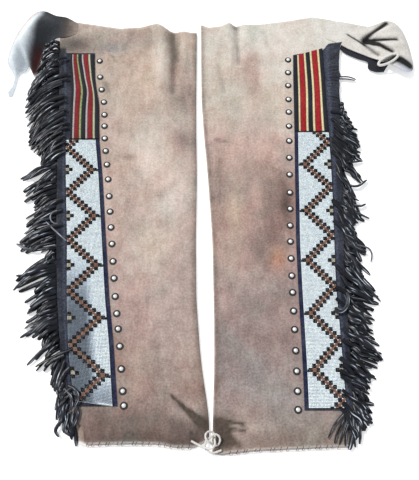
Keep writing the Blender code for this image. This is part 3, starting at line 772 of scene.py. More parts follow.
def makeBand(name, finish):
    one = legs[name]
    side = one["side"]
    low, high = one["bandLow"], one["ribbonHigh"] + bandLook["over"]
    upper = []
    lower = []
    tones = []
    for y in np.linspace(low, high, int((high - low) / bandLook["rowStep"])):
        inner = lineAt(one, "band", y)
        past = float(readAt(bandLook["edgeColumns"], bandLook[name.lower() + "Edge"], "y", "out", y))
        outer = lineAt(one, "seam", y) + side * (bandLook["pastSeam"] + past)
        panel = lineAt(one, "panel", y)
        share = np.concatenate([np.linspace(0, 0.6, 9)[:-1], np.linspace(0.6, 1, bandLook["lines"] - 8)])
        x = inner + share * (outer - inner)
        beyond = np.clip((x - panel) / (outer - panel), 0, 1)
        gather = smoothStep(beyond * 2) * (0.25 + 0.75 * smoothStep((y - 170) / 40) * (name == "Right"))
        bent = y + 10 * beyond * math.sin(y / 31)
        turn = bent / bandLook["puckerPitch"] * 2 * math.pi
        wave = 0.5 + 0.3 * np.sin(turn + 1.6 * math.sin(y / 23)) + 0.2 * np.sin(0.37 * turn + 2.1)
        rise = gather * bandLook["pucker"] * wave + bandLook["swell"] * np.sin(math.pi * beyond) * (beyond > 0)
        peak = bandLook["peak"] * smoothStep(beyond * 3) * np.clip((y - one["ribbonHigh"] + 15) / 20, 0, 1)
        where = slanted(one, y, share) + peak * (name == "Right")
        base = leg["bandBase"] + np.maximum(rise, 0)
        upper.append(np.stack([x, where, base + leg["bandWall"]], 1))
        lower.append(np.stack([x, where, base], 1))
        edging = smoothStep((side * (x - inner) - leg["navyEdge"]) / 3)
        shade = tint(np.broadcast_to(np.array(paint(*bandLook["edging"])), (len(x), 3)), bandLook[name.lower() + "Outside"], edging)
        # a painted highlight (sheen) along the outer part of the band
        shade = tint(shade, bandLook["sheen"], 0.55 * np.exp(-((beyond - 0.26) / 0.14) ** 2) * (beyond > 0))
        # painted shade in the troughs of the puckers
        tones.append(tint(shade, bandLook["troughShade"], 0.95 * gather * (1 - wave) ** 2))
    piece = wallPiece("band" + name, upper, lower, [finish], np.array(tones))
    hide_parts("band_" + name.lower())
    laidSheet(upper)


navyWool = woolFinish("navyWool")
for name in legs:
    makeBand(name, navyWool)
print("bands ready")

# Beadwork: rows of small glass beads on a thin backing, in a stepped zigzag
beadLook = {
    "across": 28,
    "cell": 3,
    "depth": 7,
    "backing": 0.9,
    "radius": 1.24,
    "sides": 5,
    "laneHump": 0.5,
    "lanes": 3,
    "leftPitch": 2.457, "leftApex": 66.8,
    "rightPitch": 2.488, "rightApex": 79.2,
    "white": (238, 249, 255),
    "black": (10, 10, 15),
    "copper": (158, 112, 88),
    "amber": (190, 186, 164),
    "seed": 5,
    "lowSlant": 9.0,
}


def beadKind(place, row):
    # 0 white, 1 black, 2 copper, 3 amber; rows count down from an inner point of the zigzag
    size = beadLook["cell"]
    fromOuter = place // size
    across = place % size - 1
    cell = round(row / size)
    down = row - cell * size
    period = 2 * beadLook["depth"]
    step = (cell + beadLook["depth"]) % period - beadLook["depth"]
    line = beadLook["depth"] - abs(step)
    if fromOuter > line and fromOuter > beadLook["depth"] + 1 and step == 0 and down in (0, 1):
        return 1
    if fromOuter == line:
        slope = 1 if step < 0 else -1
        return 2 if abs(across - slope * down) < 2 or step == 0 else 0
    if abs(fromOuter - line) == 1:
        return 1
    if (fromOuter, abs(step)) in ((0, 1), (1, 0)):
        return 1
    if (fromOuter, step) == (0, 0):
        return 3
    return 0


def beadFinish():
    glass = Finish("beadGlass", roughness=0.35, specular_ior_level=0.35)
    cloud = glass.noise(70, 3, 0.6)
    tone = glass.mix(0.5, glass.tone(), glass.ramp(cloud, (0.3, 0.4), (0.7, 0.6)), "SOFT_LIGHT")
    return glass.wear(base_color=tone)


def backingFinish():
    cloth = Finish("beadBacking", roughness=0.9)
    weave = cloth.noise(500, 3, 0.6)
    shade = cloth.mix(weave, opaque(paint(196, 200, 208)), opaque(paint(232, 234, 240)))
    return cloth.wear(base_color=shade, normal=cloth.bump(weave, 0.4, 0.0005))


def beadShape():
    # a barrel that lies along X, as rings of points and its faces
    sides = beadLook["sides"]
    points = []
    for along, width in ((-0.46, 0.68), (0.0, 1.0), (0.46, 0.68)):
        for k in range(sides):
            turn = 2 * math.pi * (k + 0.25) / sides
            points.append((along, width * math.cos(turn), width * math.sin(turn)))
    faces = [tuple(range(sides))[::-1], tuple(range(2 * sides, 3 * sides))]
    for ring in (0, sides):
        for k in range(sides):
            after = (k + 1) % sides
            faces.append((ring + k, ring + after, ring + sides + after, ring + sides + k))
    return np.array(points), faces


def makeBeads(name, glass, cloth):
    one = legs[name]
    side = one["side"]
    draw = np.random.default_rng(beadLook["seed"])
    pitch = beadLook[name.lower() + "Pitch"]
    apex = beadLook[name.lower() + "Apex"]
    shape, shapeFaces = beadShape()
    kinds = [np.array(paint(*beadLook[tone], share=1.0)) for tone in ("white", "black", "copper", "amber")]
    rows = np.arange(math.ceil((apex - one["beadHigh"]) / pitch), int((apex - one["beadLow"]) / pitch) + 1)
    points = []
    tones = []
    faces = []
    for row in rows:
        y = apex - row * pitch
        outer = lineAt(one, "panel", y)
        inner = lineAt(one, "band", y) + side * leg["navyEdge"]
        size = (inner - outer) / beadLook["across"]
        for place in range(beadLook["across"]):
            share = (place + 0.5) / beadLook["across"]
            kind = beadKind(place, int(row))
            lane = (share * beadLook["lanes"]) % 1
            height = leg["panelBase"] + beadLook["backing"] + 0.55 + beadLook["laneHump"] * math.sin(math.pi * lane)
            slant = beadLook["lowSlant"] * (0.5 - share) * smoothStep((-260 - y) / 130) if name == "Left" else 0
            jitter = draw.normal(0, 0.09, 3)
            spot = np.array([outer + share * (inner - outer), y + slant, height]) + jitter
            scale = np.array([abs(size), beadLook["radius"], beadLook["radius"]]) * draw.uniform(0.93, 1.06)
            faces.extend([tuple(len(points) * len(shape) + k for k in face) for face in shapeFaces])
            points.append(spot + shape * scale)
            shade = kinds[kind] * draw.uniform(0.84, 1.1)
            # painted blue-grey shade on the white beads of the lower left panel
            if kind == 0 and name == "Left":
                bluishShade = 0.78 * smoothStep((-110 - y) / 130) * smoothStep((0.72 - share) / 0.3)
                bluishShade = max(bluishShade, 0.5 * smoothStep((-345 - y) / 40) * (1 - smoothStep((-392 - y) / 3)))
                shade = shade * (1 - bluishShade) * np.array([1 - 0.12 * bluishShade, 1, 1 + 0.2 * bluishShade])
            tones.append(np.broadcast_to(np.clip(shade, 0, 1), shape.shape))
    beads = addPiece("beads" + name, np.concatenate(points), faces, [glass], np.concatenate(tones))
    upper = []
    lower = []
    for y in np.linspace(one["beadLow"], one["beadHigh"], 80):
        outer = lineAt(one, "panel", y)
        inner = lineAt(one, "band", y) + side * leg["navyEdge"]
        shares = np.linspace(0, 1, 16)
        x = outer + shares * (inner - outer)
        slant = beadLook["lowSlant"] * (0.5 - shares) * smoothStep((-260 - y) / 130) * (name == "Left")
        upper.append(np.stack([x, y + slant, np.full_like(x, leg["panelBase"] + beadLook["backing"])], 1))
        lower.append(np.stack([x, y + slant, np.full_like(x, leg["panelBase"])], 1))
    backing = wallPiece("beadBacking" + name, upper, lower, [cloth])
    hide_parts("bead_panel_" + name.lower())
    laidSheet(upper)


glass = beadFinish()
backing = backingFinish()
for name in legs:
    makeBeads(name, glass, backing)
print("beads ready")

# Ribbon panels: stripes sewn side by side, each slightly crowned
ribbonLook = {
    "rowStep": 4.0,
    "linesEach": 6,
    "crown": 0.55,
    "left": (("navy", 2.6), ("blush", 2.2), ("red", 5.6), ("lime", 2.5), ("navy", 5.0), ("blush", 2.4),
             ("red", 6.2), ("cream", 2.6), ("navy", 4.8)),
    "right": (("navy", 4.8), ("cream", 2.1), ("red", 6.2), ("cream", 2.5), ("navy", 4.8), ("cream", 2.5),
              ("red", 6.4), ("cream", 2.5), ("navy", 4.2)),
    "tones": {
        "navy": (11, 16, 34), "red": (166, 10, 24), "cream": (240, 226, 178),
        "blush": (240, 212, 200), "lime": (192, 198, 124),
    },
    "leftShade": (0.6, 0.7, 0.8), "rightShade": (1.0, 1.0, 1.0),
}


def ribbonFinish(name, colour):
    cloth = Finish("ribbon" + name.title(), roughness=0.65, sheen_weight=0.08, specular_ior_level=0.25)
    ribs = cloth.node("ShaderNodeTexWave", {"bands_direction": "Y"},
                      {"Vector": cloth.place, "Scale": 300, "Distortion": 0.6, "Detail": 1})
    fibre = cloth.noise(230, 4, 0.7, (2.4, 1, 1))
    fade = cloth.noise(24, 3, 0.6)
    pale = tuple(min(1.0, value * 1.5 + 0.03) for value in paint(*colour))
    base = cloth.mix(cloth.ramp(fade, (0.45, 0.0), (0.85, 0.4)), opaque(paint(*colour)), opaque(pale))
    wearAndGlint = cloth.mix(1.0, base, cloth.ramp(fibre, (0.34, 0.1), (0.66, 0.88)), "SOFT_LIGHT")
    shade = cloth.mix(1.0, wearAndGlint, cloth.tone(), "MULTIPLY")
    return cloth.wear(base_color=shade, normal=cloth.bump(ribs * 0.6 + fibre * 0.5, 0.4, 0.0006))


def makeRibbons(name, finishes):
    one = legs[name]
    side = one["side"]
    stripes = ribbonLook[name.lower()]
    if name == "Right":
        stripes = stripes[::-1]
    widths = np.array([width for tone, width in stripes])
    starts = np.concatenate([[0], np.cumsum(widths)]) / widths.sum()
    shares = []
    crowns = []
    kinds = []
    names = list(ribbonLook["tones"])
    for k, (tone, width) in enumerate(stripes):
        steps = np.linspace(0, 1, ribbonLook["linesEach"] + 1)
        shares.extend(starts[k] + steps[:-1] * (starts[k + 1] - starts[k]))
        crowns.extend(np.sin(math.pi * steps[:-1]) ** 0.7 * min(1.0, width / 5))
        kinds.extend([names.index(tone)] * ribbonLook["linesEach"])
    shares = np.array([*shares, 1.0])
    crowns = np.array([*crowns, 0.0])
    upper = []
    lower = []
    low, high = one["ribbonLow"], one["ribbonHigh"]
    for y in np.linspace(low, high, int((high - low) / ribbonLook["rowStep"])):
        outer = lineAt(one, "panel", y) - side * one["ribbonInset"]
        inner = lineAt(one, "band", y) + side * leg["seam"]
        sway = 1.2 * math.sin(y / 34)
        if name == "Left":
            sway = 4.6 * math.exp(-((y - 262) / 30) ** 2) - 3.4 * smoothStep((y - 300) / 50)
        x = outer + shares * (inner - outer) + sway * np.sin(math.pi * shares)
        where = slanted(one, y, 1 - shares)
        rise = leg["panelBase"] + leg["panelWall"] * 0.75 + ribbonLook["crown"] * crowns
        upper.append(np.stack([x, where, rise], 1))
        lower.append(np.stack([x, where, np.full_like(x, leg["panelBase"])], 1))
    seams = (0.35 + 0.65 * smoothStep(crowns * 2))[:, None] * np.array(ribbonLook[name.lower() + "Shade"])
    seams = np.broadcast_to(seams, (len(upper), *seams.shape))
    piece = wallPiece("ribbons" + name, upper, lower, finishes, seams, columnFinish=np.array(kinds))
    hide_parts("ribbon_panel_" + name.lower())
    laidSheet(upper)


ribbonFinishes = [ribbonFinish(tone, colour) for tone, colour in ribbonLook["tones"].items()]
for name in legs:
    makeRibbons(name, ribbonFinishes)
print("ribbons ready")

# Studs: a domed silver head whose lower dome and flange are dark with tarnish and painted shade
studLook = {
    "sides": 20,
    # height share, radius share and whether the ring is bright silver; the other rings are dark with tarnish and
    # painted shade
    "rings": ((0.0, 1.14, 0), (0.1, 1.14, 0), (0.16, 1.05, 0), (0.12, 0.78, 0), (0.3, 0.7, 0), (0.5, 0.62, 0),
              (0.68, 0.53, 1), (0.86, 0.36, 1), (0.97, 0.16, 1)),
    "seed": 3,
}


def studFinishes():
    bright = Finish("studSilver", roughness=0.26, metallic=0.55)
    scuff = bright.noise(400, 4, 0.7)
    tone = bright.mix(scuff, opaque((0.86, 0.86, 0.86)), opaque((0.98, 0.98, 0.98)))
    bright.wear(base_color=tone, roughness=scuff * 0.3 + 0.14)
    # the dark finish is tarnish together with painted shade round the lower dome
    dark = Finish("studTarnishAndShade", roughness=0.6, metallic=0.4)
    stain = dark.noise(500, 3, 0.7)
    dark.wear(base_color=dark.mix(stain, opaque((0.008, 0.007, 0.008)), opaque((0.05, 0.045, 0.042))))
    return [dark.material, bright.material]


def makeStuds(name, finishes):
    one = legs[name]
    side = one["side"]
    draw = np.random.default_rng(studLook["seed"])
    sides = studLook["sides"]
    base = leg["top"] + leg["seam"]
    turns = 2 * math.pi * np.arange(sides) / sides
    points = []
    faces = []
    kinds = []
    for y in one["studs"]:
        x = lineAt(one, "band", y) - side * leg["studFromBand"]
        lean = draw.normal(0, 0.05, 2)
        start = len(points)
        for height, width, bright in studLook["rings"]:
            reach = leg["studRadius"] * width
            for turn in turns:
                dx, dy = reach * math.cos(turn), reach * math.sin(turn)
                tip = height * leg["studHeight"] + max(0, height - 0.2) * (dx * lean[0] + dy * lean[1])
                points.append((x + dx, y + dy, base + tip))
        points.append((x, y, base + leg["studHeight"]))
        faces.append(tuple(start + k for k in range(sides)))
        kinds.append(0)
        for ring in range(len(studLook["rings"]) - 1):
            for k in range(sides):
                a = start + ring * sides + k
                b = start + ring * sides + (k + 1) % sides
                faces.append((a, b, b + sides, a + sides))
                kinds.append(studLook["rings"][ring + 1][2])
        top = start + (len(studLook["rings"]) - 1) * sides
        for k in range(sides):
            faces.append((top + k, top + (k + 1) % sides, len(points) - 1))
            kinds.append(1)
    piece = addPiece("studs" + name, points, faces, finishes, faceFinish=kinds, sharp=55)
    nodes = [f"stud_{name.lower()}_{number:02d}" for number in range(1, len(one["studs"]) + 1)]
    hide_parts(*nodes)
    return piece


metal = studFinishes()
studPieces = {name: makeStuds(name, metal) for name in legs}
print("studs ready")

# Fringe: a strip in the outside seam, cut into wide blunt strands
fringeLook = {
    "stripInside": 9.0,
    "stripOutside": 2.5,
    "stripWall": 1.9,
    "pitch": 3.7,
    "width": 8.4,
    "thickness": 4.0,
    "corners": (0, 42, 76, 90, 104, 138, 180, 225, 315),
    "ridgeCorner": 3,
    "stations": 18,
    "tipFrom": 0.9,
    "tipLeast": 0.3,
    "clump": 6,
    "turning": 0.28,
    "shortTop": 60.0,
    "lowest": 0.2,
    "layers": (3.6, 7.0, 10.6),
    "tipHeights": (2.6, 4.6, 7.0),
    "overBand": 13.4,
    "tabLift": 9.0,
    "tabEase": 30.0,
    "seed": 23,
    "columns": ("y", "x"),
    "easeColumns": ("y", "share"),
    "left": {
        "high": 396, "low": -414, "fullBelow": 400, "overTab": 285,
        "drops": (50, 74), "along": (0.42, 0.66), "down": (0.2, 0.45), "overFrom": 100, "overShare": 0.5,
        "overBelow": 350, "thicker": ((330, 110),),
        "dropEase": ((400, 1), (140, 1), (100, 0.58), (-230, 0.55), (-330, 0.85), (-420, 1)),
    },
    "right": {
        "high": 380, "low": -424, "fullBelow": 226, "overTab": 400,
        "drops": (60, 92), "along": (0.1, 0.34), "down": (0.46, 0.72), "overFrom": 72, "overShare": 0.8,
        "overBelow": 206, "thicker": ((224, 100), (20, -60)),
        "dropEase": ((400, 0.6), (190, 0.66), (120, 0.9), (60, 1), (-110, 1), (-180, 0.72), (-230, 0.58), (-390, 0.6), (-425, 0.9)),
    },
    # how far out the tips reach, with the tufts and gaps of the real outline
    "leftReach": (
        (400, -362), (345, -371), (284, -382), (243, -389), (207, -389), (158, -375), (114, -373),
        (97, -344), (60, -346), (49, -379), (40, -328), (21, -376), (-10, -364), (-28, -340),
        (-39, -361), (-58, -361), (-92, -371), (-109, -365), (-123, -326), (-135, -306), (-160, -363),
        (-188, -367), (-200, -330), (-209, -347), (-234, -339), (-278, -341), (-288, -303), (-300, -303),
        (-331, -323), (-347, -288), (-365, -280), (-387, -264), (-421, -272), (-446, -249), (-456, -228),
    ),
    "rightReach": (
        (310, 316), (286, 316), (232, 281), (200, 297), (172, 307), (143, 314), (90, 313), (67, 276),
        (46, 316), (21, 278), (-8, 311), (-19, 284), (-41, 314), (-56, 284), (-90, 288), (-113, 306),
        (-142, 280), (-166, 311), (-184, 309), (-211, 318), (-229, 303), (-259, 302), (-318, 310),
        (-349, 301), (-375, 279), (-391, 288), (-433, 284), (-448, 260), (-468, 240),
    ),
    # strands that show by themselves: points along each one, then its width and its grey
    "leftLone": (
        (((-306, 96, 4), (-344, 66, 6), (-379, 48, 4)), 6.6, 58),
        (((-305, 86, 5), (-341, 60, 7), (-374, 45, 4)), 6.0, 76),
        (((-290, -98, 5), (-338, -108, 8), (-370, -94, 5)), 6.4, 60),
        (((-288, -128, 5), (-326, -146, 8), (-365, -188, 4)), 6.8, 66),
        (((-288, -132, 5), (-330, -158, 6), (-363, -159, 4)), 6.8, 50),
        (((-281, -236, 5), (-310, -258, 7), (-342, -279, 4)), 6.6, 58),
        (((-270, -280, 5), (-296, -300, 7), (-324, -329, 4)), 6.6, 58),
        (((-273, -92, 15.4), (-288, -78, 15), (-303, -64, 14), (-316, -50, 12)), 3.6, 118),
        (((-297, -26, 14), (-306, -33, 14.6), (-308, -44, 14.6), (-301, -54, 15), (-292, -55, 15)), 3.0, 128),
        (((-251, -372, 12), (-240, -384, 15), (-236, -398, 15), (-240, -414, 13)), 6.6, 46),
        (((-246, -366, 12), (-232, -374, 15.4), (-226, -388, 15.4), (-232, -404, 14)), 6.2, 40),
        (((-240, -392, 12), (-228, -404, 13), (-226, -420, 11.6), (-234, -440, 10)), 6.6, 44),
        (((-244, -398, 9), (-250, -420, 9), (-262, -440, 7), (-256, -452, 5)), 6.8, 40),
        (((-240, -404, 7), (-244, -424, 7), (-246, -442, 6), (-232, -452, 5)), 6.8, 54),
    ),
    "rightLone": (
        (((277, 299, 6), (299, 297, 8), (316, 292, 5)), 4.4, 92),
        (((276, 294, 5), (296, 293, 6), (313, 290, 5)), 4.0, 60),
        (((264, 96, 6), (284, 86, 8), (311, 90, 5)), 6.6, 40),
        (((262, 40, 5), (292, 30, 8), (315, 46, 5)), 6.8, 46),
        (((262, -2, 5), (292, -14, 8), (308, -8, 5)), 6.4, 50),
        (((258, -14, 5), (290, -30, 8), (312, -40, 5)), 6.6, 54),
        (((252, -76, 5), (280, -96, 8), (303, -103, 6), (309, -116, 5), (306, -132, 4)), 4.2, 96),
        (((250, -160, 5), (286, -176, 8), (316, -210, 5)), 6.8, 46),
        (((249, -184, 9), (255, -202, 14.5), (252, -222, 15.6), (240, -234, 16), (226, -231, 15.6)), 7.0, 40),
        (((249, -196, 9), (252, -214, 14), (244, -228, 15.4), (232, -226, 15.4)), 5.0, 70),
        (((248, -270, 5), (284, -288, 8), (309, -320, 5)), 6.8, 42),
        (((238, -406, 11.4), (226, -418, 12), (213, -432, 11), (200, -455, 10)), 4.4, 30),
        (((240, -408, 11.4), (231, -421, 12), (218, -442, 11), (211, -463, 9)), 5.2, 16),
        (((242, -408, 11), (236, -424, 11.6), (228, -440, 10.6), (219, -465, 8)), 4.6, 34),
        (((243, -410, 10), (241, -424, 11), (232, -446, 10), (229, -467, 7)), 5.8, 14),
        (((244, -412, 10), (245, -428, 10), (240, -446, 9), (235, -469, 7)), 5.4, 26),
        (((245, -414, 9), (250, -430, 9), (246, -450, 8), (246, -469, 6)), 6.4, 12),
        (((246, -412, 8), (256, -430, 9), (256, -448, 8), (254, -464, 5)), 6.8, 20),
    ),
}


def leatherFinish():
    dyed = Finish("dyedLeather", roughness=0.4, specular_ior_level=0.3, coat_weight=0.06, coat_roughness=0.2)
    crack = dyed.noise(200, 4, 0.7)
    dust = dyed.noise(60, 4, 0.65)
    tone = dyed.mix(dyed.ramp(dust, (0.55, 0.0), (0.85, 0.18)), dyed.tone(), opaque(paint(98, 108, 138)))
    return dyed.wear(base_color=tone, roughness=crack * 0.3 + 0.22, normal=dyed.bump(crack, 0.6, 0.0008))


def strandRings(path, width, thickness, twist, phase):
    # rings of points round a path; the flat cross-section turns as it goes along, and both ends are round
    run = np.gradient(path, axis=0)
    run /= np.linalg.norm(run, axis=1)[:, None]
    across = np.cross(run, (0, 0, 1))
    across /= np.linalg.norm(across, axis=1)[:, None]
    up = np.cross(across, run)
    shares = np.linspace(0, 1, len(path))
    corners = np.radians(fringeLook["corners"])
    tipFrom = fringeLook["tipFrom"]
    rings = []
    for k, share in enumerate(shares):
        ending = max(0.0, (share - tipFrom) / (1 - tipFrom))
        swell = (0.86 + 0.14 * math.sin(share * math.pi)) * math.sqrt(max(fringeLook["tipLeast"], 1 - ending ** 2))
        turn = phase + twist * 2 * math.pi * share
        wide = across[k] * math.cos(turn) + up[k] * math.sin(turn)
        thin = up[k] * math.cos(turn) - across[k] * math.sin(turn)
        for corner in corners:
            rings.append(path[k] + wide * width / 2 * swell * math.cos(corner)
                         + thin * thickness / 2 * swell * math.sin(corner))
    return rings


def strandTones(grey, glint, count, draw):
    # dark leather with a painted glint along its upper ridge over part of the length
    base = np.array(paint(grey, grey + 3, grey + 13))
    wearAndGlint = np.array(paint(228, 240, 255, share=1.3))
    middles = draw.uniform(0.3, 1.0, 3)
    reach = draw.uniform(0.04, 0.09)
    tones = []
    for share in np.linspace(0, 1, count):
        here = glint * min(1.0, sum(math.exp(-((share - middle) / reach) ** 2) for middle in middles))
        for corner in range(len(fringeLook["corners"])):
            tones.append(base + here * (wearAndGlint - base) * (corner == fringeLook["ridgeCorner"]))
    return tones


def addTube(points, faces, rings, sides):
    start = len(points)
    points.extend(rings)
    count = len(rings) // sides
    faces.append(tuple(start + k for k in range(sides)))
    faces.append(tuple(start + (count - 1) * sides + k for k in range(sides))[::-1])
    for ring in range(count - 1):
        for k in range(sides):
            a = start + ring * sides + k
            b = start + ring * sides + (k + 1) % sides
            faces.append((a, b, b + sides, a + sides))


def bowed(root, bend, tip, steps):
    # a soft curve from the root past the bend to the tip
    t = np.linspace(0, 1, steps)[:, None]
    return (1 - t) ** 2 * root + 2 * t * (1 - t) * bend + t ** 2 * tip


def strandPath(one, span, reach, y, clump, values, layer):
    side = one["side"]
    edge = float(lineAt(one, "seam", y)) + side * 1.0
    full = 0.9 + 0.14 * values[0]
    length = full if layer == 0 else (0.36 + 0.3 * values[0] + 0.34 * clump)
    low, high = span["drops"]
    drop = (low + values[1] * (high - low)) * length
    drop = drop * (0.3 + 0.7 * smoothStep((min(span["high"], span["fullBelow"]) - y) / fringeLook["shortTop"]))
    drop = drop * float(readAt(fringeLook["easeColumns"], span["dropEase"], "y", "share", y))
    drop = drop + 16 * (values[8] - 0.5) * (layer > 0)
    tipY = max(y - drop, -470)
    target = float(readAt(fringeLook["columns"], reach, "y", "x", tipY))
    tipX = edge + min(length, 1.0) * (target - side * 3 - edge)
    lift = fringeLook["tabLift"] * smoothStep((y - span["overTab"]) / fringeLook["tabEase"])
    middle = fringeLook["layers"][layer] + 1.6 * values[2] + lift
    end = fringeLook["tipHeights"][layer] + 1.2 * values[3] + lift * 0.8
    share = span["overShare"] if y > span["overFrom"] or y < -300 else 0.16
    over = layer == 2 and values[6] < share and y < span["overBelow"]
    start = np.array([edge, y, 3.3 + lift * 0.12])
    if over:
        start = start + np.array([-side * (6 + 16 * values[6] / share), 0, fringeLook["overBand"] - 3.3])
    along = span["along"][0] + values[4] * (span["along"][1] - span["along"][0])
    down = span["down"][0] + values[5] * (span["down"][1] - span["down"][0])
    bend = np.array([edge + along * (tipX - edge), y - down * (y - tipY), 2 * middle - (start[2] + end) / 2])
    steps = fringeLook["stations"]
    path = bowed(start, bend, np.array([tipX, tipY, end]), steps)
    way = np.linspace(0, 1, steps)
    wobble = smoothStep(way * 1.6) * np.sin(way * (5 + 5 * values[7]) + values[5] * 6)
    path[:, 0] += wobble * (1.2 + 1.6 * values[0])
    path[:, 1] += wobble * (1.0 + 2.2 * values[2])
    path[:, 2] = np.maximum(path[:, 2], 2.6)
    return path


def makeFringe(name, finish):
    one = legs[name]
    side = one["side"]
    span = fringeLook[name.lower()]
    reach = fringeLook[name.lower() + "Reach"]
    draw = np.random.default_rng(fringeLook["seed"] + side)
    points = []
    faces = []
    shades = []
    steps = fringeLook["stations"]
    clump = 0.5
    roots = [np.arange(high, low, -fringeLook["pitch"])
             for high, low in ((span["high"] - 2, span["low"]), *span["thicker"])]
    for k, root in enumerate(np.concatenate(roots)):
        y = root + draw.uniform(-1, 1)
        if k % fringeLook["clump"] == 0:
            clump = draw.uniform()
        values = draw.uniform(size=9)
        layer = k % 3
        if y > span["fullBelow"]:
            continue
        path = strandPath(one, span, reach, y, clump, values, layer)
        width = fringeLook["width"] * (0.82 + 0.36 * values[7])
        rings = strandRings(path, width, fringeLook["thickness"],
                            fringeLook["turning"] * (values[8] - 0.5), 0.9 * (values[4] - 0.5))
        addTube(points, faces, rings, len(fringeLook["corners"]))
        grey = 4 + 26 * values[3] ** 2 + (20 if values[2] > 0.9 else 0)
        shades.extend(strandTones(grey, 0.15 + 0.85 * values[1] ** 2, steps, draw))
    for stops, width, grey in fringeLook[name.lower() + "Lone"]:
        path = smoothRows(stops, 7)
        rings = strandRings(path, width, min(fringeLook["thickness"], width * 0.7), 0.1, 0.2)
        addTube(points, faces, rings, len(fringeLook["corners"]))
        shades.extend(strandTones(grey, 0.75, len(path), draw))
    levels = np.linspace(span["high"], span["low"], 200)
    seam = lineAt(one, "seam", levels)
    base = leg["wall"] + leg["seam"]
    start = len(points)
    for y, x in zip(levels, seam):
        for away, height in ((-fringeLook["stripInside"], fringeLook["stripWall"]),
                             (fringeLook["stripOutside"], fringeLook["stripWall"]),
                             (fringeLook["stripOutside"], 0), (-fringeLook["stripInside"], 0)):
            points.append(np.array([x + side * away, y, base + height]))
            shades.append(paint(20, 21, 28))
    faces.append((start, start + 1, start + 2, start + 3))
    faces.append(tuple(start + 4 * (len(levels) - 1) + k for k in (3, 2, 1, 0)))
    for k in range(len(levels) - 1):
        for c in range(4):
            a = start + 4 * k + c
            b = start + 4 * k + (c + 1) % 4
            faces.append((a, b, b + 4, a + 4))
    points = np.array(points)
    points[:, 2] = np.maximum(points[:, 2], fringeLook["lowest"])
    piece = addPiece("fringe" + name, points, faces, [finish], np.array(shades), sharp=60)
    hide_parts("fringe_" + name.lower())
    return piece


dyed = leatherFinish()
fringes = {name: makeFringe(name, dyed) for name in legs}
print("fringe ready")

# Belt tabs: the hide's outer upper corners, curled on the left and pleated on the right
tabLook = {
    "columns": ("rimX", "rimY", "inX", "inY", "rimZ", "crownZ", "inZ"),
    "crown": 0.42,
    "stepsEach": 6,
    "lines": 56,
    "seed": 4,
    "freckle": (232, 190, 176),
    "left": (
        (-294, 444, -294, 424, 6.8, 6.8, 6.8),
        (-301, 449, -300, 414, 6.8, 6.8, 6.8),
        (-322, 461, -318, 406, 6.8, 6.8, 6.8),
        (-346, 466, -341, 401, 6.8, 11, 6.0),
        (-371, 480, -357, 374, 5, 20, 2.5),
        (-392, 479, -366, 350, 3.5, 29, 2),
        (-411, 456, -371, 324, 3, 35, 2),
        (-426, 425, -376, 298, 2.5, 38, 2),
        (-436, 391, -391, 327, 2, 34, 3),
        (-442, 352, -396, 320, 1.5, 25, 3),
        (-438, 331, -399, 314, 1.2, 18, 2.5),
        (-427, 313, -409, 309, 1, 6, 1.5),
        (-421, 296, -414, 294, 0.8, 1, 0.8),
        (-423, 276, -416, 275, 0.8, 0.8, 0.8),
        (-430, 261, -419, 260, 0.8, 0.8, 0.8),
        (-427, 250, -421, 250, 0.8, 0.8, 0.8),
    ),
    "right": (
        (262, 455, 257, 402, 6.8, 6.8, 6.8),
        (285, 450, 281, 390, 6.8, 6.8, 6.8),
        (310, 445, 304, 373, 6.8, 8.5, 7.5),
        (334, 441, 329, 359, 4.5, 11, 8),
        (357, 438, 351, 347, 3.5, 13, 9),
        (377, 446, 367, 338, 3, 16, 12),
        (397, 454, 383, 328, 3, 19, 15),
        (416, 449, 398, 318, 2.5, 21, 17),
        (431, 427, 410, 309, 2, 20, 17),
        (440, 390, 424, 305, 1.5, 17, 15),
        (443, 352, 434, 309, 1.2, 12, 11),
        (443, 326, 441, 318, 1, 5, 5),
    ),
    "rightPleats": (
        (342, 392, 396, 446, 7, -4.5),
        (344, 392, 414, 389, 6, -4.0),
        (346, 389, 398, 358, 6, -4.0),
        (362, 408, 412, 430, 9, 3.5),
        (368, 376, 420, 370, 7, 3.0),
        (306, 417, 366, 352, 6, -2.5),
    ),
    # painted shade in the grooves of the pleats and under the thong loop: x1, y1, x2, y2, half width, strength
    "rightLines": (
        (340, 394, 396, 446, 5.4, 1.5),
        (342, 394, 410, 389, 3.6, 1.4),
        (346, 391, 368, 380, 5.4, 1.3),
        (362, 384, 398, 358, 3.6, 1.3),
        (306, 412, 342, 381, 2.4, 1.0),
        (340, 383, 368, 352, 4.0, 0.7),
        (402, 336, 430, 319, 7.4, 1.2),
        (372, 326, 400, 339, 4.6, 1.3),
        (414, 338, 434, 321, 5.0, 1.0),
    ),
    # where the pale outer slope of the left tab ends and its painted shade begins, as it is seen from the hems
    "shadowColumns": ("y", "x"),
    "shadowLine": ((500, -372), (461, -380), (430, -384), (400, -385), (348, -389), (290, -388)),
    # the left tab's colours: a painted highlight, its pale bluish-white skin, painted shade beyond the crown, painted
    # maroon-tinted shade under the curl, a soiled taupe end with painted shade, and the hide's colour
    "leftHighlight": (244, 250, 255),
    "leftBright": (222, 232, 240),
    "leftDeepShade": (48, 52, 58),
    "leftMaroon": (84, 30, 30),
    "leftTaupe": (84, 74, 71),
    "leftHide": (158, 144, 134),
    "rightTone": (226, 222, 216),
    "rightLow": (204, 208, 222),
    "creaseShadeTone": (22, 20, 20),
}


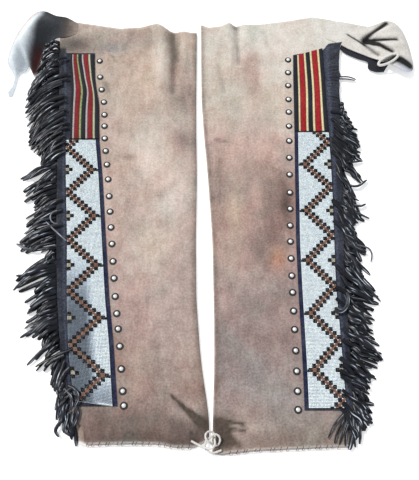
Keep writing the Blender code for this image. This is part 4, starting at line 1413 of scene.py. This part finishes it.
def tabGrid(rows, pleats):
    stations = smoothRows(rows, tabLook["stepsEach"])
    shares = np.linspace(0, 1, tabLook["lines"])
    crown = tabLook["crown"]
    upper = []
    for rimX, rimY, inX, inY, rimZ, crownZ, inZ in stations:
        x = rimX + shares * (inX - rimX)
        y = rimY + shares * (inY - rimY)
        rising = rimZ + (crownZ - rimZ) * smoothStep(shares / crown)
        falling = crownZ + (inZ - crownZ) * smoothStep((shares - crown) / (1 - crown))
        height = np.where(shares < crown, rising, falling)
        edge = smoothStep(shares / 0.2) * smoothStep((1 - shares) / 0.15)
        height = height + edge * ridges(pleats, x, y)
        height = np.maximum(height, max(rimZ, 0.6))
        upper.append(np.stack([x, y, height + leg["wall"]], 1))
    return np.array(upper), shares


def skived(upper, whole):
    # the end that lies on the hide is pared thin
    return upper - np.stack([0 * whole, 0 * whole, (1 - whole) * (leg["wall"] - 0.4)], -1)


def tabFinish(name):
    skin = Finish(name, roughness=0.75, sheen_weight=0.1, specular_ior_level=0.25)
    cloud = skin.noise(40, 5, 0.65)
    grain = skin.noise(320, 4, 0.7)
    tone = skin.mix(0.8, skin.tone(), skin.ramp(cloud, (0.3, 0.34), (0.7, 0.66)), "SOFT_LIGHT")
    shade = skin.mix(0.8, tone, skin.ramp(grain, (0.3, 0.26), (0.7, 0.74)), "SOFT_LIGHT")
    return skin.wear(base_color=shade, roughness=grain * 0.2 + 0.65, normal=skin.bump(grain + cloud, 0.3, 0.0008))


def makeTabs(finish):
    made = {}
    upper, shares = tabGrid(tabLook["left"], ())
    lower = upper - np.array([0, 0, leg["wall"]])
    upper = skived(upper, smoothStep((upper[..., 0] + 294) / -34))
    across = np.broadcast_to(shares, upper.shape[:2])
    x, y = upper[..., 0], upper[..., 1]
    tones = np.broadcast_to(np.array(paint(*tabLook["leftBright"])), upper.shape)
    seen = y + 0.41 * upper[..., 2]
    line = readAt(tabLook["shadowColumns"], tabLook["shadowLine"], "y", "x", seen)
    # painted highlight on the outer slope near the top of the tab
    tones = tint(tones, tabLook["leftHighlight"], 0.8 * np.exp(-((x + 404) / 14) ** 2 - ((seen - 440) / 40) ** 2))
    speckle = np.random.default_rng(tabLook["seed"]).uniform(size=x.shape)
    tones = tint(tones, tabLook["freckle"], 0.75 * np.exp(-(across / 0.06) ** 2) * (speckle > 0.5))
    tones = tint(tones, tabLook["leftBright"], 0.6 * np.exp(-(across / 0.05) ** 2) * (speckle < 0.2))
    tail = smoothStep((seen - 300) / 14)
    # painted shade on the far side of the crown, beyond the shadow line
    dark = smoothStep((x - line + 12) / 20) * tail
    tones = tint(tones, tabLook["leftDeepShade"], dark)
    # painted shade under the curl, tinted maroon
    maroon = dark * np.exp(-((x + 374) / 13) ** 2) * smoothStep((398 - seen) / 50)
    tones = tint(tones, tabLook["leftMaroon"], 0.9 * maroon)
    # the inner end: soiled taupe together with painted shade, then the hide's own colour
    tones = tint(tones, tabLook["leftTaupe"], smoothStep((x + 342) / 30))
    tones = tint(tones, tabLook["leftHide"], smoothStep((x + 322) / 30))
    piece = wallPiece("tabLeft", upper, lower, [finish], tones)
    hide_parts("belt_tab_left")
    laidSheet(upper)
    made["Left"] = piece

    upper = tabGrid(tabLook["right"], tabLook["rightPleats"])[0]
    lower = upper - np.array([0, 0, leg["wall"]])
    upper = skived(upper, smoothStep((upper[..., 0] - 262) / 34))
    x, y = upper[..., 0], upper[..., 1]
    tones = np.broadcast_to(np.array(paint(*tabLook["rightTone"])), upper.shape).copy()
    low = (smoothStep((350 - y) / 40) * smoothStep((x - 380) / 40))[..., None]
    tones += low * (np.array(paint(*tabLook["rightLow"])) - tones)
    # painted shade in the pleats' grooves and under the thong loop
    lines = np.clip(ridges(tabLook["rightLines"], x, y), 0, 1)[..., None]
    tones += lines * (np.array(paint(*tabLook["creaseShadeTone"])) - tones)
    piece = wallPiece("tabRight", upper, lower, [finish], tones)
    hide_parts("belt_tab_right")
    laidSheet(upper)
    made["Right"] = piece
    return made


tabSkin = tabFinish("palePolishedHide")
tabs = makeTabs(tabSkin)
print("tabs ready")

# The binding strap, its thong loop, and the tie between the hems
strapLook = {
    "columns": ("x", "y", "halfX", "halfY", "top"),
    "rows": (
        (290, 383, 3, 8, 6.2), (304, 369, 4, 8, 6.2), (328, 355, 3, 8, 6.8),
        (347, 346, 3, 8, 7.4), (352, 341, 8, 20, 7.4), (368, 331, 9, 19, 7.4), (385, 325, 8, 13, 7.4),
    ),
    "wall": 2.4,
    "lines": 9,
}


def makeStrap(finish):
    stations = smoothRows(strapLook["rows"], 5)
    ways = np.linspace(1, -1, strapLook["lines"])
    upper = []
    for x, y, halfX, halfY, top in stations:
        crown = 0.5 * (1 - ways ** 2)
        upper.append(np.stack([x + ways * halfX, y + ways * halfY, top + crown - 0.3], 1))
    upper = np.array(upper)
    lower = upper.copy()
    lower[..., 2] = upper[..., 2] - strapLook["wall"]
    shade = np.broadcast_to(np.array(paint(34, 35, 44)), upper.shape)
    piece = wallPiece("bindingStrap", upper, lower, [finish], shade)
    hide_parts("binding_strap_right")
    laidSheet(upper)


thong = {
    "radius": 1.9,
    "loopRadius": 2.8,
    "sides": 12,
    "loopCentre": (385, 332.5, 21.6),
    "loopSize": (23, 8),
    "loopTurn": math.radians(26),
    "loopTilt": 0.18,
    "loopSteps": 72,
    "knotCentre": (4, -458, 13.2),
    "knotSize": 4.6,
    "knotFrom": math.radians(124),
    "knotSweep": math.radians(332),
    "knotStretch": 1.1,
    "start": ((-31, -459, 10.0), (-24, -462.8, 9.6), (-17, -466.2, 10.4), (-9, -470, 12.6)),
    "end": ((-7.4, -466, 8.2), (-6, -472, 8.2), (-1, -476.6, 8.6), (6, -478, 9.0), (13, -476.5, 9.2),
            (20, -474, 9.3)),
    "knotSteps": 44,
    "smoothing": 4,
}


def thongRings(path, radius, sides, closed=False):
    run = np.roll(path, -1, 0) - np.roll(path, 1, 0) if closed else np.gradient(path, axis=0)
    run /= np.linalg.norm(run, axis=1)[:, None]
    across = np.zeros_like(path)
    held = np.array([0.0, 0.0, 1.0])
    for k in range(len(path)):
        held = held - run[k] * held.dot(run[k])
        held /= np.linalg.norm(held)
        across[k] = held
    other = np.cross(run, across)
    corners = 2 * math.pi * np.arange(sides) / sides
    rings = []
    for k in range(len(path)):
        flat = 1 - 0.22 * (0.5 + 0.5 * math.sin(k * 0.9))
        for corner in corners:
            rings.append(path[k] + radius * (across[k] * math.cos(corner) * flat + other[k] * math.sin(corner)))
    return rings


def thongFinish():
    skin = Finish("thongHide", roughness=0.75, specular_ior_level=0.3)
    grain = skin.noise(300, 4, 0.7)
    tone = skin.mix(skin.ramp(grain, (0.3, 0.0), (0.75, 1.0)), opaque(paint(214, 210, 206)), opaque(paint(255, 254, 250)))
    return skin.wear(base_color=tone, normal=skin.bump(grain, 0.5, 0.0006))


def makeLoop(finish):
    turns = 2 * math.pi * np.arange(thong["loopSteps"]) / thong["loopSteps"]
    along = thong["loopSize"][0] * np.cos(turns)
    over = thong["loopSize"][1] * np.sin(turns)
    turn = thong["loopTurn"]
    centre = thong["loopCentre"]
    path = np.stack([centre[0] + along * math.cos(turn) - over * math.sin(turn),
                     centre[1] + along * math.sin(turn) + over * math.cos(turn),
                     centre[2] + thong["loopTilt"] * along], 1)
    sides = thong["sides"]
    rings = thongRings(path, thong["loopRadius"], sides, closed=True)
    count = len(path)
    faces = []
    for ring in range(count):
        for k in range(sides):
            a, b = ring * sides + k, ring * sides + (k + 1) % sides
            after = ((ring + 1) % count - ring) * sides
            faces.append((a, b, b + after, a + after))
    piece = addPiece("thongLoop", rings, faces, [finish])
    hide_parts("thong_loop_right")


def makeTie(finish):
    places = list(thong["start"])
    for step in range(thong["knotSteps"]):
        turn = thong["knotFrom"] + thong["knotSweep"] * step / (thong["knotSteps"] - 1)
        spread = thong["knotSize"] * (2 + math.cos(3 * turn))
        places.append((thong["knotCentre"][0] + spread * math.cos(2 * turn),
                       thong["knotCentre"][1] + thong["knotStretch"] * spread * math.sin(2 * turn),
                       thong["knotCentre"][2] + thong["knotSize"] * math.sin(3 * turn)))
    path = smoothRows(places + list(thong["end"]), thong["smoothing"])
    points = []
    faces = []
    addTube(points, faces, thongRings(path, thong["radius"], thong["sides"]), thong["sides"])
    piece = addPiece("hemTie", points, faces, [finish], sharp=60)
    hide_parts("hem_tie")


thongSkin = thongFinish()
makeStrap(dyed)
makeLoop(thongSkin)
makeTie(thongSkin)
print("thongs ready")

# Whip stitches along the hems, where the two layers meet
stitchLook = {
    "pitch": 11.0,
    "radius": 0.45,
    "reach": 3.4,
    "slant": 1.6,
    "sides": 6,
    "seed": 9,
    "clearOfTie": 26,
}


def makeStitches(name, finish):
    one = legs[name]
    side = one["side"]
    draw = np.random.default_rng(stitchLook["seed"])
    xs = np.array([row[0] for row in one["hem"]], float)
    points = []
    faces = []
    turns = np.linspace(-0.25, 1.15, 9) * math.pi
    for x in np.arange(xs.min() + 8, xs.max() - 8, stitchLook["pitch"]):
        x = x + draw.uniform(-4, 4)
        if abs(x) < stitchLook["clearOfTie"]:
            continue
        y = float(hemAt(one, x))
        reach = stitchLook["reach"] * draw.uniform(0.8, 1.2)
        top = float(topAt(one, x, y + 2)) + 0.2
        path = np.stack([x + stitchLook["slant"] * np.cos(turns), y + 0.6 + reach * np.cos(turns),
                         np.maximum(top / 2 + (top / 2 + 0.3) * np.sin(turns), 0.7)], 1)
        addTube(points, faces, thongRings(path, stitchLook["radius"], stitchLook["sides"]), stitchLook["sides"])
    return addPiece("hemStitches" + name, points, faces, [finish], sharp=60)


def threadFinish():
    thread = Finish("darkSinew", roughness=0.7)
    fibre = thread.noise(600, 3, 0.6)
    return thread.wear(base_color=thread.mix(fibre, opaque(paint(44, 36, 34)), opaque(paint(96, 80, 72))))


sinew = threadFinish()
stitches = {name: makeStitches(name, sinew) for name in legs}
for name in legs:
    laidSheet(hideGrids[name])
print("stitches ready")
